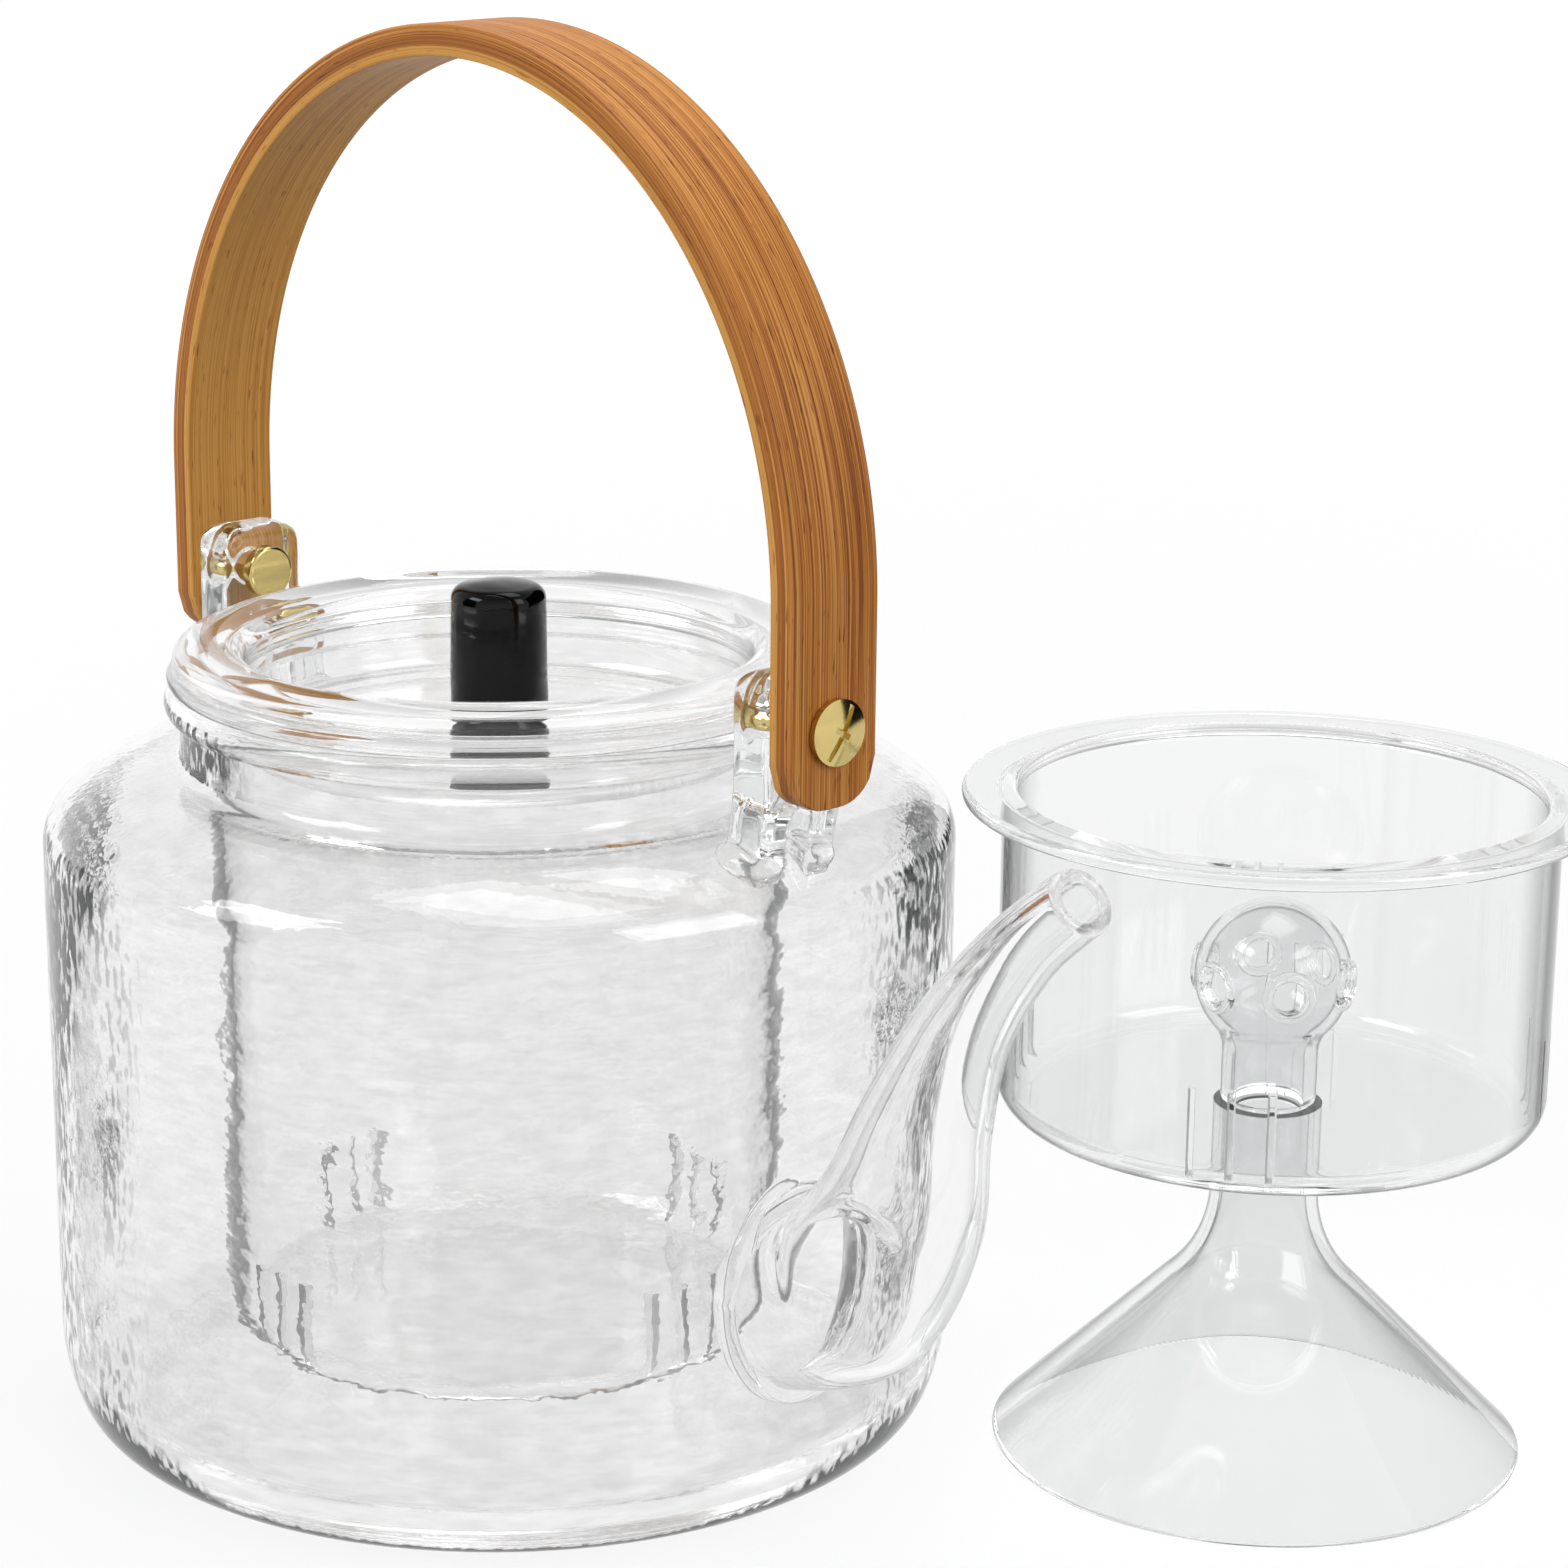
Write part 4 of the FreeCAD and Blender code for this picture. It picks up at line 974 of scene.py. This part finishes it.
def make_steam_cup():
    """Cup of the steam infuser, with a hole in its floor under the riser tube."""
    profile = flanged_cup(
        radius=STEAM_RADIUS,
        wall=STEAM_FLOOR,
        bottom=STEAM_BOTTOM,
        corner=5.0,
        under=102.3,
        flange=STEAM_FLANGE,
        thick=2.2,
        hole=TUBE_BORE,
    )
    cup = mesh_object("steam_cup_glass", turned_bmesh(profile, 192), PRESSED)
    clear_inside(cup)
    cut(cup, slit_blades(STEAM_RADIUS, STEAM_BOTTOM))
    stand_beside(cup)
    even_normals(cup)
    stand_for(cup, "steam_infuser", "steam_cup")
    clear_shadow(cup)


def add_ring(bm, matrix, radius, thick):
    """A round ring, added to a bmesh about the matrix's own upright axis."""
    sides = 14
    steps = 40
    section = bmesh.ops.create_circle(
        bm,
        segments=sides,
        radius=thick,
        matrix=Matrix.Translation((radius, 0, 0)) @ Matrix.Rotation(math.pi / 2, 4, "X"),
    )["verts"]
    edges = {edge for vert in section for edge in vert.link_edges}
    before = set(bm.verts) - set(section)
    bmesh.ops.spin(
        bm,
        geom=list(section) + list(edges),
        cent=(0, 0, 0),
        axis=(0, 0, 1),
        angle=FULL_TURN,
        steps=steps,
        use_merge=True,
    )
    made = [vert for vert in bm.verts if vert not in before]
    bmesh.ops.transform(bm, matrix=matrix, verts=made)
    bmesh.ops.recalc_face_normals(bm, faces=bm.faces)


def bulb_neck(bulb, tube, bend):
    """Where a round hollow leaves the tube's wall and where it runs into the bulb."""
    drop = math.sqrt((bulb + bend) ** 2 - (tube + bend) ** 2)
    share = bulb / (bulb + bend)
    bulb_start = ((tube + bend) * share, BULB_HEIGHT - drop * share)
    return SimpleNamespace(tube_end=BULB_HEIGHT - drop, bulb_start=bulb_start, bend=bend)


def make_steam_tube():
    """Riser tube blown to a bulb, with thick-rimmed steam holes round its middle."""
    hollow = BULB_RADIUS - BULB_WALL
    foot = STEAM_BOTTOM + STEAM_FLOOR
    outer = bulb_neck(BULB_RADIUS, TUBE_RADIUS, NECK_HOLLOW)
    inner = bulb_neck(hollow, TUBE_BORE, NECK_HOLLOW + TUBE_RADIUS - TUBE_BORE)
    profile = Profile(TUBE_BORE, foot)
    profile.line(TUBE_RADIUS, foot)
    profile.line(TUBE_RADIUS, outer.tube_end)
    profile.arc(*outer.bulb_start, outer.bend, 8, left=False)
    profile.arc(BULB_RADIUS, BULB_HEIGHT, BULB_RADIUS, 14)
    profile.arc(0, BULB_HEIGHT + BULB_RADIUS, BULB_RADIUS, 20)
    profile.line(0, BULB_HEIGHT + hollow)
    profile.arc(hollow, BULB_HEIGHT, hollow, 20, left=False)
    profile.arc(*inner.bulb_start, hollow, 14, left=False)
    profile.arc(TUBE_BORE, inner.tube_end, inner.bend, 8)
    tube = mesh_object("steam_tube_glass", turned_bmesh(profile, 96), WORKED)
    lips = bmesh.new()
    holes = bmesh.new()
    for number in range(STEAM_HOLES):
        turn = Matrix.Rotation(number * FULL_TURN / STEAM_HOLES + math.radians(STEAM_HOLE_TURN), 4, "Z")
        facing_out = (
            turn
            @ Matrix.Translation((HOLE_REACH * MM, 0, BULB_HEIGHT * MM))
            @ Matrix.Rotation(math.pi / 2, 4, "Y")
        )
        add_ring(lips, facing_out, (HOLE_RADIUS + LIP_RADIUS) * MM, LIP_RADIUS * MM)
        bmesh.ops.create_cone(
            holes,
            cap_ends=True,
            segments=40,
            radius1=HOLE_RADIUS * MM,
            radius2=HOLE_RADIUS * MM,
            depth=8 * MM,
            matrix=facing_out,
        )
    cut(tube, mesh_object("steam_hole_lips", lips, CLEAR), "UNION")
    cut(tube, mesh_object("steam_holes", holes, CLEAR))
    melt_on(tube, lambda centre, normal: centre.z < foot + 0.1 and normal.z < -0.5)
    stand_beside(tube)
    even_normals(tube)
    stand_for(tube, "steam_infuser", "steam_tube")
    clear_shadow(tube)


def make_steam_funnel():
    """Funnel under the steam cup, flared from a straight neck to a wide cone."""
    slope = math.sqrt(0.5)
    neck = 8.2
    wall = 1.8
    bend = 20.0
    neck_end = 41.5
    top = STEAM_BOTTOM
    inner_bend = bend + wall
    bore = neck - wall
    flare = (neck + bend * (1 - slope), neck_end - bend * slope)
    inner = (bore + inner_bend * (1 - slope), neck_end - inner_bend * slope)
    rim = flare[0] + flare[1] - 1.0
    profile = Profile(bore, top)
    profile.line(bore, neck_end)
    profile.arc(*inner, inner_bend, 12)
    profile.line(inner[0] + inner[1], 0)
    profile.line(rim - 1.0, 0)
    profile.arc(rim, 1.0, 1.0, 5)
    profile.line(*flare)
    profile.arc(neck, neck_end, bend, 12, left=False)
    profile.line(neck, top)
    funnel = mesh_object("steam_funnel_glass", turned_bmesh(profile, 160), FLARED)
    stand_beside(funnel)
    even_normals(funnel)
    stand_for(funnel, "steam_infuser", "steam_funnel")
    clear_shadow(funnel)


# Sizes of the bent handle, in millimetres.
ARCH_RADIUS = 75.1
ARCH_CENTRE = 139.7
STRAP_WIDTH = 16.0
PLY_THICK = 1.57
PLY_STEP = 1.6
LEG_DROP = 11.2
END_CORNER = 6.6
STRAP_EDGE = 1.0
PIVOT_DRILL = 2.8


def bend_strip(flat):
    """Where a point of the flat strip lies once it is bent: along it, across it, below its outer face."""
    along, across, depth = flat
    radius = ARCH_RADIUS - depth
    quarter = ARCH_RADIUS * math.pi / 2
    if abs(along) <= quarter:
        angle = along / ARCH_RADIUS
        return Vector((radius * math.sin(angle), across, ARCH_CENTRE + radius * math.cos(angle)))
    side = math.copysign(1.0, along)
    return Vector((side * radius, across, ARCH_CENTRE - (abs(along) - quarter)))


def make_ply(node, layer, material, rounded_face):
    """One bamboo layer: a flat strip with rounded ends and edges, then bent to the arch."""
    half_length = ARCH_RADIUS * math.pi / 2 + ARCH_CENTRE - PIVOT_HEIGHT + LEG_DROP
    half_width = STRAP_WIDTH / 2
    bm = bmesh.new()
    bmesh.ops.create_grid(bm, x_segments=240, y_segments=16, size=1.0)
    for vert in bm.verts:
        across = vert.co.y * half_width
        past_corner = max(abs(across) - (half_width - END_CORNER), 0.0)
        shorten = END_CORNER - math.sqrt(max(END_CORNER**2 - past_corner**2, 0.0))
        vert.co = Vector((vert.co.x * (half_length - shorten), across, layer * PLY_STEP))
    grown = bmesh.ops.extrude_face_region(bm, geom=bm.faces[:])
    moved = [item for item in grown["geom"] if isinstance(item, bmesh.types.BMVert)]
    bmesh.ops.translate(bm, verts=moved, vec=(0, 0, PLY_THICK))
    bmesh.ops.recalc_face_normals(bm, faces=bm.faces)
    if rounded_face is not None:
        level = layer * PLY_STEP + rounded_face * PLY_THICK
        rim = [
            edge
            for edge in bm.edges
            if all(abs(vert.co.z - level) < 1e-6 for vert in edge.verts)
            and any(abs(face.normal.z) < 0.5 for face in edge.link_faces)
        ]
        bmesh.ops.bevel(
            bm,
            geom=rim,
            offset=STRAP_EDGE,
            segments=4,
            profile=0.5,
            affect="EDGES",
            material=-1,
            clamp_overlap=True,
        )
    layout = bm.loops.layers.uv.new("along_the_strip")
    for face in bm.faces:
        for loop in face.loops:
            along, across, depth = loop.vert.co
            loop[layout].uv = (along * MM, (across + math.copysign(depth, across)) * MM)
    for vert in bm.verts:
        vert.co = bend_strip(vert.co) * MM
    bmesh.ops.recalc_face_normals(bm, faces=bm.faces)
    ply = mesh_object(f"{node}_bamboo", bm, material)
    pin = bmesh.new()
    bmesh.ops.create_cone(
        pin,
        cap_ends=True,
        segments=48,
        radius1=PIVOT_DRILL * MM,
        radius2=PIVOT_DRILL * MM,
        depth=200 * MM,
        matrix=Matrix.Translation((0, 0, PIVOT_HEIGHT * MM)) @ Matrix.Rotation(math.pi / 2, 4, "Y"),
    )
    cut(ply, mesh_object("pivot_drill", pin, material))
    even_normals(ply)
    stand_for(ply, "handle", node)


def dress_brass():
    """The solids of the pivots have the right shape, so they only get their metal."""
    for side in ("front", "rear"):
        for piece in ("barrel", "screw"):
            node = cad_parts[f"{side}_{piece}"]
            node.data.materials.clear()
            node.data.materials.append(BRASS)


FLOOR_SPAN = 8.0
FLOOR_COLOUR = "#7e7e7e"
FLOOR_GLOW_NEAR = 0.74
FLOOR_GLOW_FAR = 0.90


def seen_ray(tree):
    """One for rays from the camera, a reflection or a refraction, and none for the light on surfaces."""
    path = add_node(tree, "ShaderNodeLightPath")
    mirrored = add_node(
        tree,
        "ShaderNodeMath",
        links={0: path.outputs["Is Camera Ray"], 1: path.outputs["Is Glossy Ray"]},
        operation="MAXIMUM",
    )
    return add_node(
        tree,
        "ShaderNodeMath",
        links={0: mirrored.outputs[0], 1: path.outputs["Is Transmission Ray"]},
        operation="MAXIMUM",
    )


def make_floor():
    """White studio floor that shows a faint shadow. It glows more far off, where the lamps give less."""
    bm = bmesh.new()
    bmesh.ops.create_grid(bm, x_segments=1, y_segments=1, size=FLOOR_SPAN / 2)
    bmesh.ops.translate(bm, verts=bm.verts, vec=(0, 0, -0.1 * MM))
    material, tree = new_material("white_studio_floor")
    paper = add_node(tree, "ShaderNodeBsdfDiffuse", {"Color": linear(FLOOR_COLOUR)})
    place = add_node(tree, "ShaderNodeTexCoord")
    away = add_node(
        tree, "ShaderNodeVectorMath", links={0: place.outputs["Object"]}, operation="LENGTH"
    )
    even = add_node(
        tree,
        "ShaderNodeMapRange",
        {"From Min": 0.2, "From Max": 1.8, "To Min": FLOOR_GLOW_NEAR, "To Max": FLOOR_GLOW_FAR},
        {"Value": away.outputs["Value"]},
    )
    glow = add_node(
        tree,
        "ShaderNodeMath",
        links={0: seen_ray(tree).outputs[0], 1: even.outputs[0]},
        operation="MULTIPLY",
    )
    white = add_node(
        tree,
        "ShaderNodeEmission",
        {"Color": linear("#ffffff")},
        {"Strength": glow.outputs[0]},
    )
    both = add_node(tree, "ShaderNodeAddShader", links={0: paper.outputs[0], 1: white.outputs[0]})
    finish_material(tree, both)
    floor = mesh_object("studio_floor", bm, material)


ROOM_LIGHT = 0.5


def make_world():
    """White studio round the object, greyer overhead, where the ceiling is."""
    world = bpy.data.worlds.new("studio")
    bpy.context.scene.world = world
    world.use_nodes = True
    tree = world.node_tree
    tree.nodes.clear()
    place = add_node(tree, "ShaderNodeTexCoord")
    split = add_node(tree, "ShaderNodeSeparateXYZ", links={0: place.outputs["Generated"]})
    ceiling = add_node(
        tree,
        "ShaderNodeValToRGB",
        links={"Fac": split.outputs["Z"]},
        stops=((0.2, "#ffffff"), (0.8, "#b4b4b4")),
    )
    seen = add_node(
        tree, "ShaderNodeBackground", {"Strength": 1.0}, {"Color": ceiling.outputs["Color"]}
    )
    light = add_node(
        tree, "ShaderNodeBackground", {"Color": linear("#ffffff"), "Strength": ROOM_LIGHT}
    )
    mixed = add_node(
        tree,
        "ShaderNodeMixShader",
        links={0: seen_ray(tree).outputs[0], 1: light.outputs[0], 2: seen.outputs[0]},
    )
    add_node(tree, "ShaderNodeOutputWorld", links={"Surface": mixed.outputs[0]})


LAMP_TARGET = Vector((0.02, 0.02, 0.1))


def add_softbox(name, place, size, power):
    """A square soft light that points at the middle of the pot."""
    light = bpy.data.lights.new(name, "AREA")
    light.size = size
    light.energy = power
    lamp = bpy.data.objects.new(name, light)
    lamp.location = place
    aim = LAMP_TARGET - Vector(place)
    lamp.rotation_euler = aim.to_track_quat("-Z", "Y").to_euler()
    bpy.context.scene.collection.objects.link(lamp)


def make_flag(name, azimuth, distance, width, height):
    """A dark card beside the set. It shows only in reflections, where metal and glass need contrast."""
    bm = bmesh.new()
    bmesh.ops.create_grid(
        bm,
        x_segments=1,
        y_segments=1,
        size=0.5,
        matrix=Matrix.Rotation(math.radians(azimuth), 4, "Z")
        @ Matrix.Translation((distance, 0, height / 2))
        @ Matrix.Rotation(math.pi / 2, 4, "Y")
        @ Matrix.Diagonal((height, width, 1, 1)),
    )
    material, tree = new_material(f"{name}_card")
    card = add_node(tree, "ShaderNodeBsdfDiffuse", {"Color": linear("#1c1c1c")})
    finish_material(tree, card)
    flag = mesh_object(name, bm, material)
    flag.visible_camera = False
    flag.visible_diffuse = False
    flag.visible_transmission = False
    flag.visible_shadow = False


def make_lights():
    """Three softboxes, and dark cards on two sides for the brass and the glass edges."""
    make_flag("side_flag", 75.0, 0.55, 0.8, 0.6)
    make_flag("far_flag", -115.0, 0.7, 0.5, 0.6)
    add_softbox("key_softbox", (-0.5, -1.3, 1.1), 0.9, 17.0)
    add_softbox("fill_softbox", (1.4, 0.3, 0.9), 0.9, 8.0)
    add_softbox("top_softbox", (0.0, 0.3, 1.6), 1.0, 8.0)


def make_camera():
    """The camera of the photograph, partly turned and partly shifted towards the steam infuser."""
    camera = bpy.data.cameras.new("photo_camera")
    camera.sensor_width = SENSOR
    camera.lens = FOCAL_PIXELS / IMAGE_PIXELS * SENSOR
    aside = IMAGE_PIXELS / 2 - AXIS_PIXEL_X
    turned = aside - SIDE_SHIFT * IMAGE_PIXELS
    camera.shift_x = SIDE_SHIFT
    camera.shift_y = (LEVEL_PIXEL_Y - IMAGE_PIXELS / 2) / IMAGE_PIXELS
    camera.clip_start = 0.01
    yaw = math.atan(turned / FOCAL_PIXELS)
    stand = bpy.data.objects.new("photo_camera", camera)
    stand.location = (
        VIEW_DISTANCE * math.sin(VIEW_AZIMUTH),
        -VIEW_DISTANCE * math.cos(VIEW_AZIMUTH),
        VIEW_HEIGHT,
    )
    stand.rotation_euler = (math.pi / 2 - VIEW_PITCH, 0, VIEW_AZIMUTH - yaw)
    bpy.context.scene.collection.objects.link(stand)
    bpy.context.scene.camera = stand


# A line of sight crosses a dozen glass faces, and light runs on along rims, so it is followed far.
GLASS_CROSSINGS = 160

scene = bpy.context.scene
scene.view_settings.view_transform = "Standard"
scene.cycles.max_bounces = GLASS_CROSSINGS
scene.cycles.transmission_bounces = GLASS_CROSSINGS
scene.cycles.glossy_bounces = GLASS_CROSSINGS
scene.cycles.transparent_max_bounces = GLASS_CROSSINGS
make_pot()
make_spout()
make_lug("front")
make_lug("rear")
make_tea_infuser()
make_lid()
make_steam_cup()
make_steam_tube()
make_steam_funnel()
make_ply("handle_outer_ply", 0, BAMBOO_OUTER, 0)
make_ply("handle_core_ply", 1, BAMBOO_CORE, None)
make_ply("handle_inner_ply", 2, BAMBOO_INNER_PAINTED_LIGHT, 1)
dress_brass()
make_floor()
make_world()
make_lights()
make_camera()
